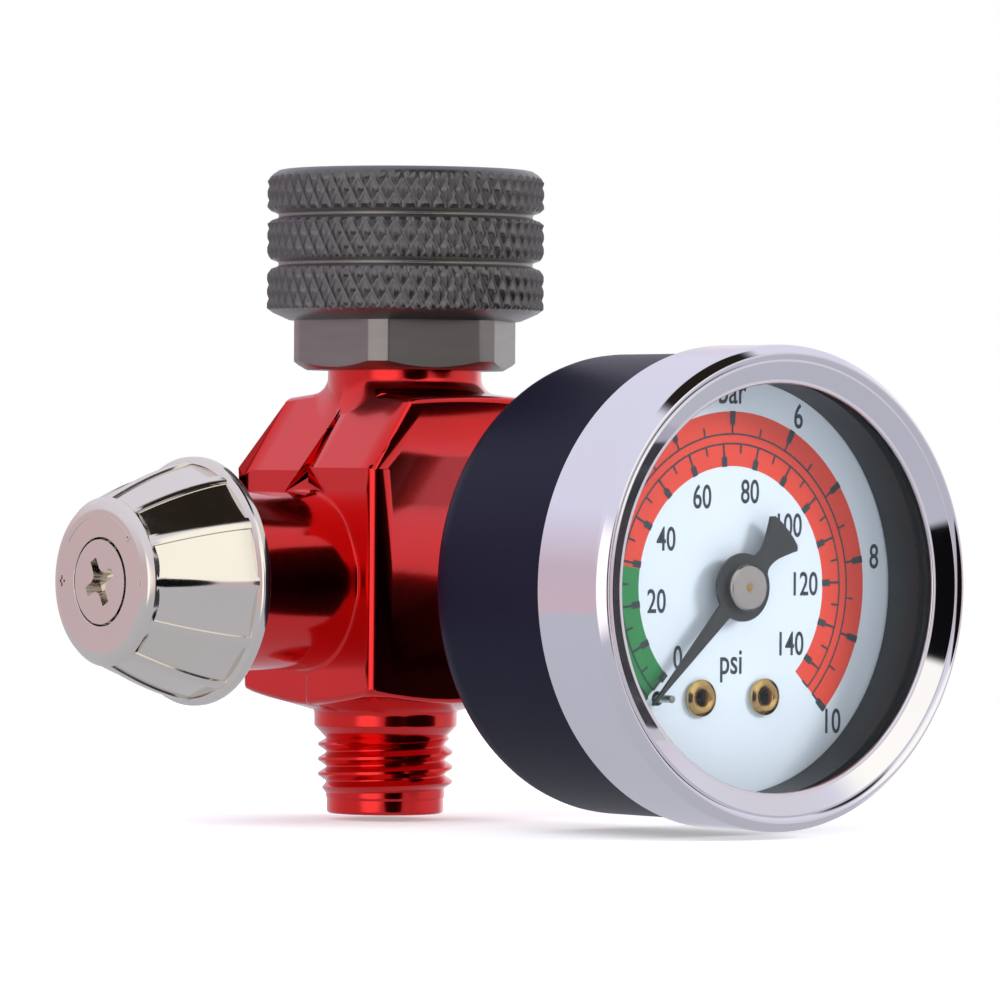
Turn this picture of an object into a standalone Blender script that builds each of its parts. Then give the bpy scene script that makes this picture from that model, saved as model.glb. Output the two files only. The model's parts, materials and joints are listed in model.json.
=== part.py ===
"""In-line air regulator with a pressure gauge.

Frame: +Z runs up the inlet thread's axis and the origin is the centre of the inlet's end face.
The adjusting knob points along -X and the gauge faces -Y.
Sizes below are in millimetres; each mesh is turned into metres when its object is made.
"""
import math

import bmesh
import bpy
from mathutils import Matrix, Vector

MM = 0.001
GAP = 0.3                      # clearance between neighbouring pieces
X_AXIS = Vector((1, 0, 0))
Y_AXIS = Vector((0, 1, 0))
Z_AXIS = Vector((0, 0, 1))

# Body block
BLOCK_LEFT = -10.1             # face that carries the knob
BLOCK_RIGHT = 14.3
BLOCK_HALF_DEPTH = 10.8
BLOCK_BOTTOM = 10.4
BLOCK_TOP = 41.0
SHOULDER_RUN = 5.2             # sloping upper corners
SHOULDER_DROP = 7.4
REAR_STEP = 0.7                # rear half stands back by this much
EDGE_RADIUS = 0.6
NECK_X = 2.1                   # outlet neck and swivel nut axis
NECK_RADIUS = 7.5
NECK_TOP = 50.3
AXIS_Z = 22.7                  # height of the knob and gauge axes
BOSS_RADIUS = 8.6
BOSS_END = 26.0                # distance of the boss's end from the inlet axis, along -X

# Inlet: G 1/4 thread
THREAD_RADIUS = 6.56
THREAD_ROOT = 5.75
THREAD_PITCH = 1.45
THREAD_START = 1.9
THREAD_RIDGES = 4
COLLAR_RADIUS = 6.95
INLET_BORE = 3.5

# Valve, measured along -X from the inlet axis
SEAT_FACE = 3.1
SPINDLE_TIP = 2.71
SPINDLE_END = 30.9
SPINDLE_RADIUS = 3.0
SCREW_THREAD = 4.0             # M8 x 1 thread that moves the spindle
DRIVE_HALF_FLAT = 2.6
DRIVE_START = 28.6
SPINDLE_RING = 23.25           # middle of the spindle's O-ring
BONNET_RING = 25.4             # middle of the gland nut's O-ring
RING_SECTION = 0.42

# Knob
KNOB_RIM = 22.8
KNOB_FRONT = 34.3
KNOB_RADIUS = 11.87
KNOB_SIDES = 12

# Swivel nut, heights along Z
NUT_RADIUS = 13.5
NUT_BOTTOM = 43.1
NUT_TOP = 62.6
HEX_TOP = 47.9
HEX_FLATS = 20.0
HEX_CORNER_ANGLE = 39.4
NUT_BORE = 6.0
NUT_SLIP = 7.8                 # bore that turns round the neck
NUT_GROOVES = (53.4, 58.1)
RING_HEIGHT = 46.3             # middle of the retaining ring and its grooves

# Gauge: depth is measured from the bezel's front plane towards the body
GAUGE_X = 8.2
GAUGE_FRONT = -50.3
BEZEL_RADIUS = 22.58
BEZEL_DEPTH = 9.3
APERTURE = 19.3
CASE_RADIUS = 21.85
CASE_BACK = 26.6
DIAL_DEPTH = 8.3
DIAL_RADIUS = 20.8
POINTER_ZERO = 225.0           # degrees, anticlockwise from +X as seen from the front
POINTER_LENGTH = 15.3
PINION_TEETH = 8
SECTOR_TEETH_FULL = 48
SECTOR_PIVOT = (0.0, -7.0)
TAIL_RADIUS = 2.2
TAIL_ANGLE = -15.0
TUBE_RADIUS = 13.5
TUBE_ROOT = (-2.2, -12.3)
TIP_PIN = (8.5, -12.5)
SQUARE = 9.5                   # spanner square of the gauge socket

COLOURS = {
    "red": ((0.55, 0.008, 0.006), 0.22, 0.85),
    "gunmetal": ((0.085, 0.080, 0.072), 0.38, 0.9),
    "chrome": ((0.80, 0.79, 0.82), 0.08, 1.0),
    "nickel": ((0.66, 0.62, 0.56), 0.2, 1.0),
    "black_enamel": ((0.010, 0.011, 0.020), 0.3, 0.0),
    "black_plastic": ((0.012, 0.012, 0.014), 0.45, 0.0),
    "glass": ((0.9, 0.93, 0.93), 0.03, 0.0),
    "dial_white": ((0.62, 0.72, 0.78), 0.4, 0.0),
    "pointer_black": ((0.018, 0.019, 0.02), 0.4, 0.0),
    "brass": ((0.60, 0.42, 0.16), 0.25, 1.0),
    "steel": ((0.50, 0.50, 0.49), 0.3, 1.0),
    "bronze": ((0.42, 0.24, 0.10), 0.3, 1.0),
    "rubber": ((0.02, 0.02, 0.02), 0.7, 0.0),
    "seal_white": ((0.75, 0.74, 0.70), 0.5, 0.0),
}


def clear_scene():
    for existing in list(bpy.data.objects):
        bpy.data.objects.remove(existing, do_unlink=True)


def material(name):
    found = bpy.data.materials.get(name)
    if found:
        return found
    colour, roughness, metallic = COLOURS[name]
    made = bpy.data.materials.new(name)
    made.use_nodes = True
    shader = made.node_tree.nodes["Principled BSDF"]
    shader.inputs["Base Color"].default_value = (*colour, 1.0)
    shader.inputs["Roughness"].default_value = roughness
    shader.inputs["Metallic"].default_value = metallic
    made.diffuse_color = (*colour, 1.0)
    return made


# Solids, in millimetres

def lathe(profile, axis, centre=(0, 0, 0), steps=48, start=0.0, open_ends=True):
    """Turn a profile of (radius, height) points about an axis.

    With open_ends the outline starts and ends on the axis; otherwise it is a closed ring section.
    start turns the first point round the axis, which matters when steps is small.
    """
    side = Y_AXIS if abs(axis.x) > 0.5 else X_AXIS
    side = Matrix.Rotation(math.radians(start), 3, axis) @ side
    centre = Vector(centre)
    bm = bmesh.new()
    points = [bm.verts.new(centre + side * radius + axis * height) for radius, height in profile]
    edges = [bm.edges.new(pair) for pair in zip(points, points[1:])]
    if not open_ends:
        edges.append(bm.edges.new((points[-1], points[0])))
    bmesh.ops.spin(bm, geom=points + edges, cent=centre, axis=axis, dvec=(0, 0, 0),
                   angle=2 * math.pi, steps=steps, use_merge=True, use_duplicate=False)
    return closed(bm)


def prism(outline, low, high):
    """Extrude an outline of (X, Z) points along Y."""
    bm = bmesh.new()
    face = bm.faces.new([bm.verts.new((across, low, up)) for across, up in outline])
    grown = bmesh.ops.extrude_face_region(bm, geom=[face])
    moved = [item for item in grown["geom"] if isinstance(item, bmesh.types.BMVert)]
    bmesh.ops.translate(bm, verts=moved, vec=Y_AXIS * (high - low))
    return closed(bm)


def box(low, high):
    bm = bmesh.new()
    bmesh.ops.create_cube(bm, size=1.0)
    size = [b - a for a, b in zip(low, high)]
    middle = [(a + b) / 2 for a, b in zip(low, high)]
    bmesh.ops.scale(bm, verts=bm.verts, vec=size)
    bmesh.ops.translate(bm, verts=bm.verts, vec=middle)
    return bm


def rod(radius, axis, centre, low, high, steps=32):
    return lathe([(0, low), (radius, low), (radius, high), (0, high)], axis, centre, steps)


def tube(outer, inner, axis, centre, low, high, steps=48):
    section = [(inner, low), (outer, low), (outer, high), (inner, high)]
    return lathe(section, axis, centre, steps, open_ends=False)


def round_ring(middle_radius, section_radius, axis, centre, height, steps=28, sides=6):
    angles = [2 * math.pi * index / sides for index in range(sides)]
    section = [(middle_radius + section_radius * math.cos(a), height + section_radius * math.sin(a))
               for a in angles]
    return lathe(section, axis, centre, steps, open_ends=False)


def closed(bm):
    bmesh.ops.remove_doubles(bm, verts=bm.verts, dist=1e-4)
    bmesh.ops.recalc_face_normals(bm, faces=bm.faces)
    return bm


def soften(bm, width, segments=1, limit=30.0):
    """Round every edge sharper than the limit."""
    sharp = [e for e in bm.edges if e.calc_face_angle(0.0) > math.radians(limit)]
    bmesh.ops.bevel(bm, geom=sharp, offset=width, affect="EDGES", segments=segments,
                    profile=0.5, material=-1)
    return closed(bm)


def temporary(bm):
    mesh = bpy.data.meshes.new("solid")
    bm.to_mesh(mesh)
    bm.free()
    made = bpy.data.objects.new("solid", mesh)
    bpy.context.collection.objects.link(made)
    return made


def combine(base, tool, operation):
    """Boolean of two bmeshes; both are used up and the result is returned."""
    target = temporary(base)
    other = temporary(tool)
    change = target.modifiers.new("combine", "BOOLEAN")
    change.object = other
    change.operation = operation
    change.solver = "EXACT"
    graph = bpy.context.evaluated_depsgraph_get()
    result = bmesh.new()
    result.from_object(target, graph)
    for used in (target, other):
        mesh = used.data
        bpy.data.objects.remove(used, do_unlink=True)
        bpy.data.meshes.remove(mesh)
    bmesh.ops.remove_doubles(result, verts=result.verts, dist=1e-3)
    return result


def joined(base, *tools):
    for tool in tools:
        base = combine(base, tool, "UNION")
    return base


def cut(base, *tools):
    for tool in tools:
        base = combine(base, tool, "DIFFERENCE")
    return base


def node(name, bm, finish, pivot=(0, 0, 0)):
    """Make the named object in metres, with its origin on the pivot."""
    pivot = Vector(pivot)
    bmesh.ops.remove_doubles(bm, verts=bm.verts, dist=4e-3)
    bmesh.ops.translate(bm, verts=bm.verts, vec=-pivot)
    bmesh.ops.scale(bm, verts=bm.verts, vec=(MM, MM, MM))
    mesh = bpy.data.meshes.new(name)
    bm.to_mesh(mesh)
    bm.free()
    mesh.materials.append(material(finish))
    mesh.shade_smooth()
    mesh.set_sharp_from_angle(angle=math.radians(35))
    made = bpy.data.objects.new(name, mesh)
    made.location = pivot * MM
    bpy.context.collection.objects.link(made)
    return made


# Body and its air ways

VALVE_CENTRE = (0, 0, AXIS_Z)
NECK_CENTRE = (NECK_X, 0, 0)
GAUGE_CENTRE = (GAUGE_X, 0, AXIS_Z)


def block_outline(inset):
    """Side of the block with its two sloping shoulders; inset moves the rear half's sides in."""
    left = BLOCK_LEFT + inset
    right = BLOCK_RIGHT - inset
    top = BLOCK_TOP + 0.5
    low_shoulder = BLOCK_TOP - SHOULDER_DROP - 0.4 * inset
    slope = SHOULDER_RUN / SHOULDER_DROP
    run = slope * (top - low_shoulder)
    return [(left, BLOCK_BOTTOM - 0.4 + inset), (right, BLOCK_BOTTOM - 0.4 + inset),
            (right, low_shoulder), (right - run, top), (left + run, top), (left, low_shoulder)]


def body_block():
    front = soften(prism(block_outline(0.0), -BLOCK_HALF_DEPTH, 0.0), EDGE_RADIUS, 2)
    rear = soften(prism(block_outline(REAR_STEP), -2.0, BLOCK_HALF_DEPTH), EDGE_RADIUS, 2)
    block = joined(front, rear)
    reach = 40
    above = lathe([(0, BLOCK_TOP + 0.3), (NECK_RADIUS, BLOCK_TOP), (reach, BLOCK_TOP - 4.0), (reach, 60),
                   (0, 60)], Z_AXIS, NECK_CENTRE)
    below = lathe([(0, -1), (reach, -1), (reach, BLOCK_BOTTOM + 8.0), (BOSS_RADIUS, BLOCK_BOTTOM),
                   (0, BLOCK_BOTTOM)], Z_AXIS)
    return cut(block, above, below)


def neck():
    low = RING_HEIGHT - 0.7
    high = RING_HEIGHT + 0.7
    groove = NECK_RADIUS - 0.6
    chamfer = 0.8
    return lathe([(0, 36), (NECK_RADIUS, 36), (NECK_RADIUS, low), (groove, low), (groove, high),
                  (NECK_RADIUS, high), (NECK_RADIUS, NECK_TOP - chamfer), (NECK_RADIUS - chamfer, NECK_TOP),
                  (0, NECK_TOP)], Z_AXIS, NECK_CENTRE, 36)


def inlet_spigot():
    profile = [(0, 0), (5.3, 0), (THREAD_ROOT, 0.4), (THREAD_ROOT + 0.05, THREAD_START - 0.72)]
    for ridge in range(THREAD_RIDGES):
        middle = THREAD_START + 0.1 + ridge * THREAD_PITCH
        profile.append((THREAD_RADIUS, middle - 0.1))
        profile.append((THREAD_RADIUS, middle + 0.1))
        profile.append((THREAD_ROOT, middle + THREAD_PITCH / 2))
    profile += [(5.9, 7.5), (COLLAR_RADIUS, 8.4), (COLLAR_RADIUS, 9.9), (8.0, 10.6), (8.0, 14), (0, 14)]
    return lathe(profile, Z_AXIS, steps=32)


def knob_boss():
    root = -BLOCK_LEFT
    profile = [(0, root - 4), (BOSS_RADIUS, root - 4), (BOSS_RADIUS, BOSS_END - 0.4),
               (BOSS_RADIUS - 0.4, BOSS_END), (0, BOSS_END)]
    return lathe(profile, -X_AXIS, VALVE_CENTRE, 36, start=4)


def air_ways():
    """Every bore of the body, as separate cutters."""
    inlet = lathe([(0, -1), (INLET_BORE, -1), (INLET_BORE, 13), (0, 15)], Z_AXIS)
    low_end = Vector((-0.3, 0, 11.0))
    slant = Vector((-5.2, 0, AXIS_Z - low_end.z))
    slanted = rod(1.7, Z_AXIS, (0, 0, 0), 0, slant.length, 20)
    turn = Matrix.Rotation(math.atan2(slant.x, slant.z), 3, "Y")
    bmesh.ops.rotate(slanted, verts=slanted.verts, matrix=turn)
    bmesh.ops.translate(slanted, verts=slanted.verts, vec=low_end)
    valve = lathe([(0, -11.0), (2.6, -11.0), (2.6, 0.8), (3.6, 0.8), (3.6, 3.2), (4.4, 3.2), (4.4, 14.5),
                   (5.5, 14.6), (5.5, 24.8), (6.35, 24.8), (6.35, 27), (0, 27)], -X_AXIS, VALVE_CENTRE, 28)
    outlet = rod(2.5, Z_AXIS, NECK_CENTRE, AXIS_Z, 52, 24)
    port_depth = BLOCK_HALF_DEPTH - 8.0
    port = lathe([(0, 0.5), (1.5, 0.5), (1.5, port_depth), (4.9, port_depth), (4.9, 12), (0, 12)],
                 -Y_AXIS, GAUGE_CENTRE, 28)
    return inlet, slanted, valve, outlet, port


def make_body():
    whole = joined(body_block(), neck(), inlet_spigot(), knob_boss())
    return node("body", cut(whole, *air_ways()), "red")


# Valve, all turned about the knob's axis; distances run along -X

def make_valve():
    seat = lathe([(1.3, SEAT_FACE - 2.0), (3.3, SEAT_FACE - 2.0), (3.3, SEAT_FACE), (1.3, SEAT_FACE)],
                 -X_AXIS, VALVE_CENTRE, 32, open_ends=False)
    node("valve_seat", seat, "seal_white")

    cone_run = 3.12
    tip = SPINDLE_TIP
    hole = 1.85
    spindle = lathe([(0, tip), (0.4, tip), (2.2, tip + cone_run), (2.2, 11.0), (3.2, 11.4),
                     (SCREW_THREAD, 12.0), (SCREW_THREAD, 18.6), (SPINDLE_RADIUS, 19.2),
                     (SPINDLE_RADIUS, SPINDLE_RING - 0.75), (2.05, SPINDLE_RING - 0.75),
                     (2.05, SPINDLE_RING + 0.75), (SPINDLE_RADIUS, SPINDLE_RING + 0.75),
                     (SPINDLE_RADIUS, SPINDLE_END), (hole, SPINDLE_END), (hole, 25.6), (0, 25.0)],
                    -X_AXIS, VALVE_CENTRE, 24)
    beyond = 5
    for low, high in ((-beyond, -DRIVE_HALF_FLAT), (DRIVE_HALF_FLAT, beyond)):
        flat = box((-33, -beyond, AXIS_Z + low), (-DRIVE_START, beyond, AXIS_Z + high))
        spindle = cut(spindle, flat)
    node("valve_spindle", spindle, "steel", VALVE_CENTRE)

    spindle_ring = round_ring(2.65, RING_SECTION, -X_AXIS, VALVE_CENTRE, SPINDLE_RING)
    node("spindle_o_ring", spindle_ring, "rubber", VALVE_CENTRE)

    shank = rod(5.25, -X_AXIS, VALVE_CENTRE, 14.9, 26.9, 40)
    head = lathe([(0, 26.3), (7.3, 26.3), (7.3, 27.6), (6.9, 28.0), (0, 28.0)], -X_AXIS, VALVE_CENTRE, 6)
    wide = SCREW_THREAD + 0.25
    narrow = SPINDLE_RADIUS + 0.25
    guide = lathe([(0, 14), (wide, 14), (wide, 21.2), (narrow, 21.7), (narrow, 29), (0, 29)],
                  -X_AXIS, VALVE_CENTRE, 40)
    node("gland_nut", cut(joined(shank, head), guide), "brass")

    node("bonnet_o_ring", round_ring(5.8, RING_SECTION, -X_AXIS, VALVE_CENTRE, BONNET_RING), "rubber")


# Knob

def make_knob():
    rim = lathe([(0, KNOB_RIM), (KNOB_RADIUS - 0.2, KNOB_RIM), (KNOB_RADIUS, KNOB_RIM + 0.2),
                 (KNOB_RADIUS, KNOB_RIM + 0.7), (KNOB_RADIUS - 0.3, KNOB_RIM + 0.9), (0, KNOB_RIM + 0.9)],
                -X_AXIS, VALVE_CENTRE, 36, start=5)
    facets = lathe([(0, KNOB_RIM + 0.5), (KNOB_RADIUS, KNOB_RIM + 0.5), (10.55, 27.8), (9.0, 32.0),
                    (8.2, 33.4), (7.6, 34.0), (6.8, KNOB_FRONT), (0, KNOB_FRONT)],
                   -X_AXIS, VALVE_CENTRE, KNOB_SIDES)
    hollow = lathe([(0, KNOB_RIM - 1), (9.6, KNOB_RIM - 1), (9.6, 27.6), (8.2, 28.4), (8.2, 29.5), (0, 29.5)],
                   -X_AXIS, VALVE_CENTRE, 36)
    drive = rod(3.3, -X_AXIS, VALVE_CENTRE, 29.0, 31.2, 24)
    half = DRIVE_HALF_FLAT + GAP
    flats = box((-32, -4, AXIS_Z - half), (-28, 4, AXIS_Z + half))
    drive = combine(drive, flats, "INTERSECT")
    countersink = lathe([(0, 30.8), (2.0, 30.8), (2.0, 32.0), (4.4, KNOB_FRONT - 0.1), (4.4, 36),
                         (0, 36)], -X_AXIS, VALVE_CENTRE, 28)
    knob = cut(joined(facets, rim), hollow, drive, countersink)
    node("adjusting_knob", knob, "nickel", VALVE_CENTRE)

    head = lathe([(0, 26.5), (1.55, 26.5), (1.55, 32.1), (3.95, KNOB_FRONT - 0.15), (3.95, KNOB_FRONT),
                  (0, KNOB_FRONT + 0.05)], -X_AXIS, VALVE_CENTRE, 28)
    narrow = 0.42
    long = 2.3
    deep = -KNOB_FRONT + 1.7
    for half_y, half_z in ((long, narrow), (narrow, long)):
        slot = box((-KNOB_FRONT - 1, -half_y, AXIS_Z - half_z), (deep, half_y, AXIS_Z + half_z))
        head = cut(head, slot)
    node("knob_screw", head, "nickel", VALVE_CENTRE)


# Swivel nut and what holds it

def nut_outline():
    """Round part of the nut, from the hexagon up, with the two grooves between the knurled bands."""
    groove = 1.1
    profile = [(11.2, HEX_TOP - 0.3), (11.6, HEX_TOP + 0.1), (13.1, HEX_TOP + 0.75),
               (NUT_RADIUS, HEX_TOP + 1.1)]
    for middle in NUT_GROOVES:
        profile += [(NUT_RADIUS, middle - 1.0), (NUT_RADIUS - groove, middle - 0.12),
                    (NUT_RADIUS - groove, middle + 0.12), (NUT_RADIUS, middle + 1.0)]
    profile += [(NUT_RADIUS, 61.2), (13.2, 61.7), (12.1, NUT_TOP)]
    return profile


def make_swivel_nut():
    bore = NUT_SLIP
    barrel = lathe([(0, HEX_TOP - 0.3)] + nut_outline() + [(0, NUT_TOP)], Z_AXIS, NECK_CENTRE, 48)
    corner = HEX_FLATS / math.sqrt(3)
    hexagon = lathe([(0, NUT_BOTTOM), (corner, NUT_BOTTOM), (corner, HEX_TOP + 0.2), (0, HEX_TOP + 0.2)],
                    Z_AXIS, NECK_CENTRE, 6, HEX_CORNER_ANGLE)
    chamfer = lathe([(0, NUT_BOTTOM - 0.1), (10.2, NUT_BOTTOM - 0.1), (12.4, NUT_BOTTOM + 1.2),
                     (12.4, HEX_TOP), (0, HEX_TOP + 0.4)], Z_AXIS, NECK_CENTRE, 36)
    hexagon = combine(hexagon, chamfer, "INTERSECT")
    low = RING_HEIGHT - 1.0
    high = RING_HEIGHT + 1.0
    groove = bore + 0.95
    inside = lathe([(0, 42), (bore, 42), (bore, low), (groove, low), (groove, high), (bore, high),
                    (bore, NECK_TOP + 0.6), (NUT_BORE, NECK_TOP + 0.9), (NUT_BORE, NUT_TOP - 1.0),
                    (7.4, NUT_TOP + 0.4), (0, NUT_TOP + 0.4)], Z_AXIS, NECK_CENTRE, 40)
    node("swivel_nut", cut(joined(barrel, hexagon), inside), "gunmetal", NECK_CENTRE)

    ring = bmesh.new()
    bmesh.ops.create_circle(ring, cap_ends=True, segments=6, radius=0.6)
    bmesh.ops.rotate(ring, verts=ring.verts, matrix=Matrix.Rotation(math.pi / 2, 3, "X"))
    bmesh.ops.translate(ring, verts=ring.verts, vec=(NECK_X + NUT_SLIP, 0, RING_HEIGHT))
    bmesh.ops.spin(ring, geom=ring.faces[:], cent=(NECK_X, 0, RING_HEIGHT), axis=Z_AXIS, dvec=(0, 0, 0),
                   angle=math.radians(335), steps=28, use_duplicate=False)
    node("nut_retaining_ring", closed(ring), "steel")

    low = NECK_TOP + GAP
    node("outlet_seal", tube(5.6, 3.1, Z_AXIS, NECK_CENTRE, low, low + 1.5), "seal_white")


# Gauge housing; depths run from the bezel's front plane along +Y

FRONT_CENTRE = (GAUGE_X, GAUGE_FRONT, AXIS_Z)


def make_gauge_housing():
    wall = 0.43
    outer = BEZEL_RADIUS
    bezel = lathe([(outer, 0.9), (outer - 0.25, 0.25), (outer - 0.9, 0), (outer - 1.3, 0.1),
                   (APERTURE, 0.95), (APERTURE, 1.4), (outer - 0.9, 1.4), (outer - wall, 1.6),
                   (outer - wall, BEZEL_DEPTH), (outer, BEZEL_DEPTH)],
                  Y_AXIS, FRONT_CENTRE, 56, open_ends=False)
    node("gauge_bezel", bezel, "chrome")

    node("gauge_lens", rod(21.7, Y_AXIS, FRONT_CENTRE, 1.7, 3.4, 48), "glass")
    node("lens_gasket", tube(21.7, 20.5, Y_AXIS, FRONT_CENTRE, 3.7, 4.4, 40), "rubber")

    thick = 0.8
    radius = CASE_RADIUS
    corner = 2.4
    profile = [(5.5, CASE_BACK), (radius - corner, CASE_BACK)]
    for step in (1, 2, 3):
        turn = math.radians(30 * step)
        profile.append((radius - corner * (1 - math.sin(turn)), CASE_BACK - corner * (1 - math.cos(turn))))
    profile += [(radius, 4.7), (radius - thick, 4.7), (radius - thick, CASE_BACK - corner),
                (radius - corner, CASE_BACK - thick), (5.5, CASE_BACK - thick)]
    case = lathe(profile, Y_AXIS, FRONT_CENTRE, 48, open_ends=False)
    node("gauge_case", case, "black_enamel")

    spacer = tube(20.1, APERTURE + 0.1, Y_AXIS, FRONT_CENTRE, 3.7, DIAL_DEPTH - GAP, 48)
    node("dial_spacer", spacer, "black_plastic")


# Dial, pointer and their fixings

RIVET_PLACES = {"left": (-3.9, -10.3), "right": (3.9, -10.3)}
STOP_RADIUS = 13.6
STOP_ANGLE = 229.0


def on_dial(radius, degrees):
    angle = math.radians(degrees)
    return radius * math.cos(angle), radius * math.sin(angle)


def at_gauge(place, depth=0.0):
    return GAUGE_X + place[0], GAUGE_FRONT + depth, AXIS_Z + place[1]


def make_dial():
    dial = rod(DIAL_RADIUS, Y_AXIS, FRONT_CENTRE, DIAL_DEPTH, DIAL_DEPTH + 0.4, 48)
    stop = on_dial(STOP_RADIUS, STOP_ANGLE)
    holes = [(1.3, (0, 0)), (0.7, stop)] + [(1.05, place) for place in RIVET_PLACES.values()]
    for radius, place in holes:
        dial = cut(dial, rod(radius, Y_AXIS, at_gauge(place), DIAL_DEPTH - 1, DIAL_DEPTH + 1, 16))
    node("dial_plate", dial, "dial_white")

    for side, place in RIVET_PLACES.items():
        eyelet = lathe([(0.45, 7.75), (0.9, 7.6), (1.75, 7.85), (1.75, 8.0), (0.75, 8.0), (0.75, 9.7),
                        (0.45, 9.7)], Y_AXIS, at_gauge(place), 16, open_ends=False)
        node("dial_rivet_" + side, eyelet, "brass")

    node("stop_pin", rod(0.36, Y_AXIS, at_gauge(stop), 6.1, 9.6, 12), "steel")


def pointer_outline():
    """Outline of (along, across) points: the upper half from the tip to the tail, then its mirror image."""
    upper = [(POINTER_LENGTH, 0.12), (3.0, 0.75), (2.6, 1.6), (1.6, 2.75), (0.0, 3.2), (-1.6, 2.75),
             (-2.7, 1.5), (-3.6, 0.95), (-4.6, 1.05), (-5.8, 1.55), (-7.2, 2.3)]
    tail = [(-7.65, 0.0)]
    return upper + tail + [(along, -across) for along, across in reversed(upper)]


def make_pointer():
    axis_point = at_gauge((0, 0))
    turn = Matrix.Rotation(math.radians(POINTER_ZERO), 2)
    outline = placed([turn @ Vector(point) for point in pointer_outline()])
    blade = prism(outline, GAUGE_FRONT + 6.5, GAUGE_FRONT + 6.85)
    hub = rod(1.9, Y_AXIS, FRONT_CENTRE, 6.6, 7.7, 28)
    bore = rod(0.8, Y_AXIS, FRONT_CENTRE, 6.95, 9, 16)
    node("pointer", cut(joined(blade, hub), bore), "pointer_black", axis_point)

    cap = lathe([(0, 5.62), (0.5, 5.62), (1.9, 5.66), (2.2, 5.8), (2.2, 6.2), (0, 6.2)],
                Y_AXIS, FRONT_CENTRE, 24)
    node("pointer_cap", cap, "steel", axis_point)


# Gauge movement

def toothed_outline(root, tip, tooth_angles, pitch):
    """Outline of teeth on a circle; root and tip are radii, pitch is in degrees."""
    points = []
    for angle in tooth_angles:
        points.append(on_dial(root, angle - 0.28 * pitch))
        points.append(on_dial(tip, angle - 0.11 * pitch))
        points.append(on_dial(tip, angle + 0.11 * pitch))
        points.append(on_dial(root, angle + 0.28 * pitch))
    return points


def placed(points, centre=(0.0, 0.0)):
    return [(GAUGE_X + centre[0] + u, AXIS_Z + centre[1] + w) for u, w in points]


def make_arbor():
    pitch = 360 / PINION_TEETH
    teeth = toothed_outline(0.7, 1.22, [-90 + pitch * index for index in range(PINION_TEETH)], pitch)
    pinion = prism(placed(teeth), GAUGE_FRONT + 12.4, GAUGE_FRONT + 13.6)
    shaft = rod(0.5, Y_AXIS, FRONT_CENTRE, 7.2, 15.2, 16)
    node("pointer_arbor", joined(shaft, pinion), "steel", at_gauge((0, 0)))


def make_sector():
    pitch = 360 / SECTOR_TEETH_FULL
    low = GAUGE_FRONT + 12.6
    high = GAUGE_FRONT + 13.4
    root = 5.7
    last_tooth = 90 + 1.5 * pitch
    first_tooth = last_tooth - 9 * pitch
    teeth = toothed_outline(root, 6.2, [first_tooth + pitch * index for index in range(10)], pitch)
    start = first_tooth - 0.6 * pitch
    end = last_tooth + 0.6 * pitch
    inner = [on_dial(4.5, angle) for angle in (last_tooth + 4, 82, 66, 50, first_tooth - 4)]
    rim = [on_dial(root, start)] + teeth + [on_dial(root, end)] + inner
    arc = prism(placed(rim, SECTOR_PIVOT), low, high)
    arm_outline = [on_dial(1.0, -24), on_dial(5.0, 57), on_dial(5.0, 76), on_dial(1.0, 157)]
    arm = prism(placed(arm_outline, SECTOR_PIVOT), low, high)
    hub = rod(1.15, Y_AXIS, at_gauge(SECTOR_PIVOT), 12.5, 13.5, 20)
    shaft = rod(0.5, Y_AXIS, at_gauge(SECTOR_PIVOT), 10.2, 15.2, 16)
    tail_end = on_dial(TAIL_RADIUS, TAIL_ANGLE)
    tail_outline = [on_dial(0.9, TAIL_ANGLE - 70), on_dial(TAIL_RADIUS + 0.5, TAIL_ANGLE - 14),
                    on_dial(TAIL_RADIUS + 0.5, TAIL_ANGLE + 14), on_dial(0.9, TAIL_ANGLE + 70)]
    tail = prism(placed(tail_outline, SECTOR_PIVOT), low, high)
    pin_place = (SECTOR_PIVOT[0] + tail_end[0], SECTOR_PIVOT[1] + tail_end[1])
    pin = rod(0.3, Y_AXIS, at_gauge(pin_place), 11.5, 13.0, 12)
    node("sector_gear", joined(arc, arm, hub, shaft, tail, pin), "brass", at_gauge(SECTOR_PIVOT))
    return pin_place


def make_link(tail_pin):
    """Flat bar between the tube's tip pin and the sector's tail pin, with a loose hole at the tail."""
    start = Vector(TIP_PIN)
    end = Vector(tail_pin)
    along = (end - start).normalized()
    width = 0.85
    across = Vector((-along.y, along.x)) * width
    outline = [start - across, end - across, end + along * width, end + across, start + across,
               start - along * width]
    bar = prism(placed(outline), GAUGE_FRONT + 11.7, GAUGE_FRONT + 12.2)
    loose = rod(0.55, Y_AXIS, at_gauge(tail_pin), 11, 13, 16)
    close = rod(0.42, Y_AXIS, at_gauge(TIP_PIN), 11, 13, 16)
    node("sector_link", cut(bar, loose, close), "brass", at_gauge(TIP_PIN))


def swept_bar(radius, half_radial, low, high, first, last, steps):
    """Flat bar bent round the gauge's axis, from the first angle clockwise to the last."""
    bar = bmesh.new()
    inner = on_dial(radius - half_radial, first)
    outer = on_dial(radius + half_radial, first)
    corners = [at_gauge(inner, low), at_gauge(outer, low), at_gauge(outer, high), at_gauge(inner, high)]
    bar.faces.new([bar.verts.new(corner) for corner in corners])
    bmesh.ops.spin(bar, geom=bar.faces[:], cent=FRONT_CENTRE, axis=Y_AXIS, dvec=(0, 0, 0),
                   angle=math.radians(first - last), steps=steps, use_duplicate=False)
    return closed(bar)


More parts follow.
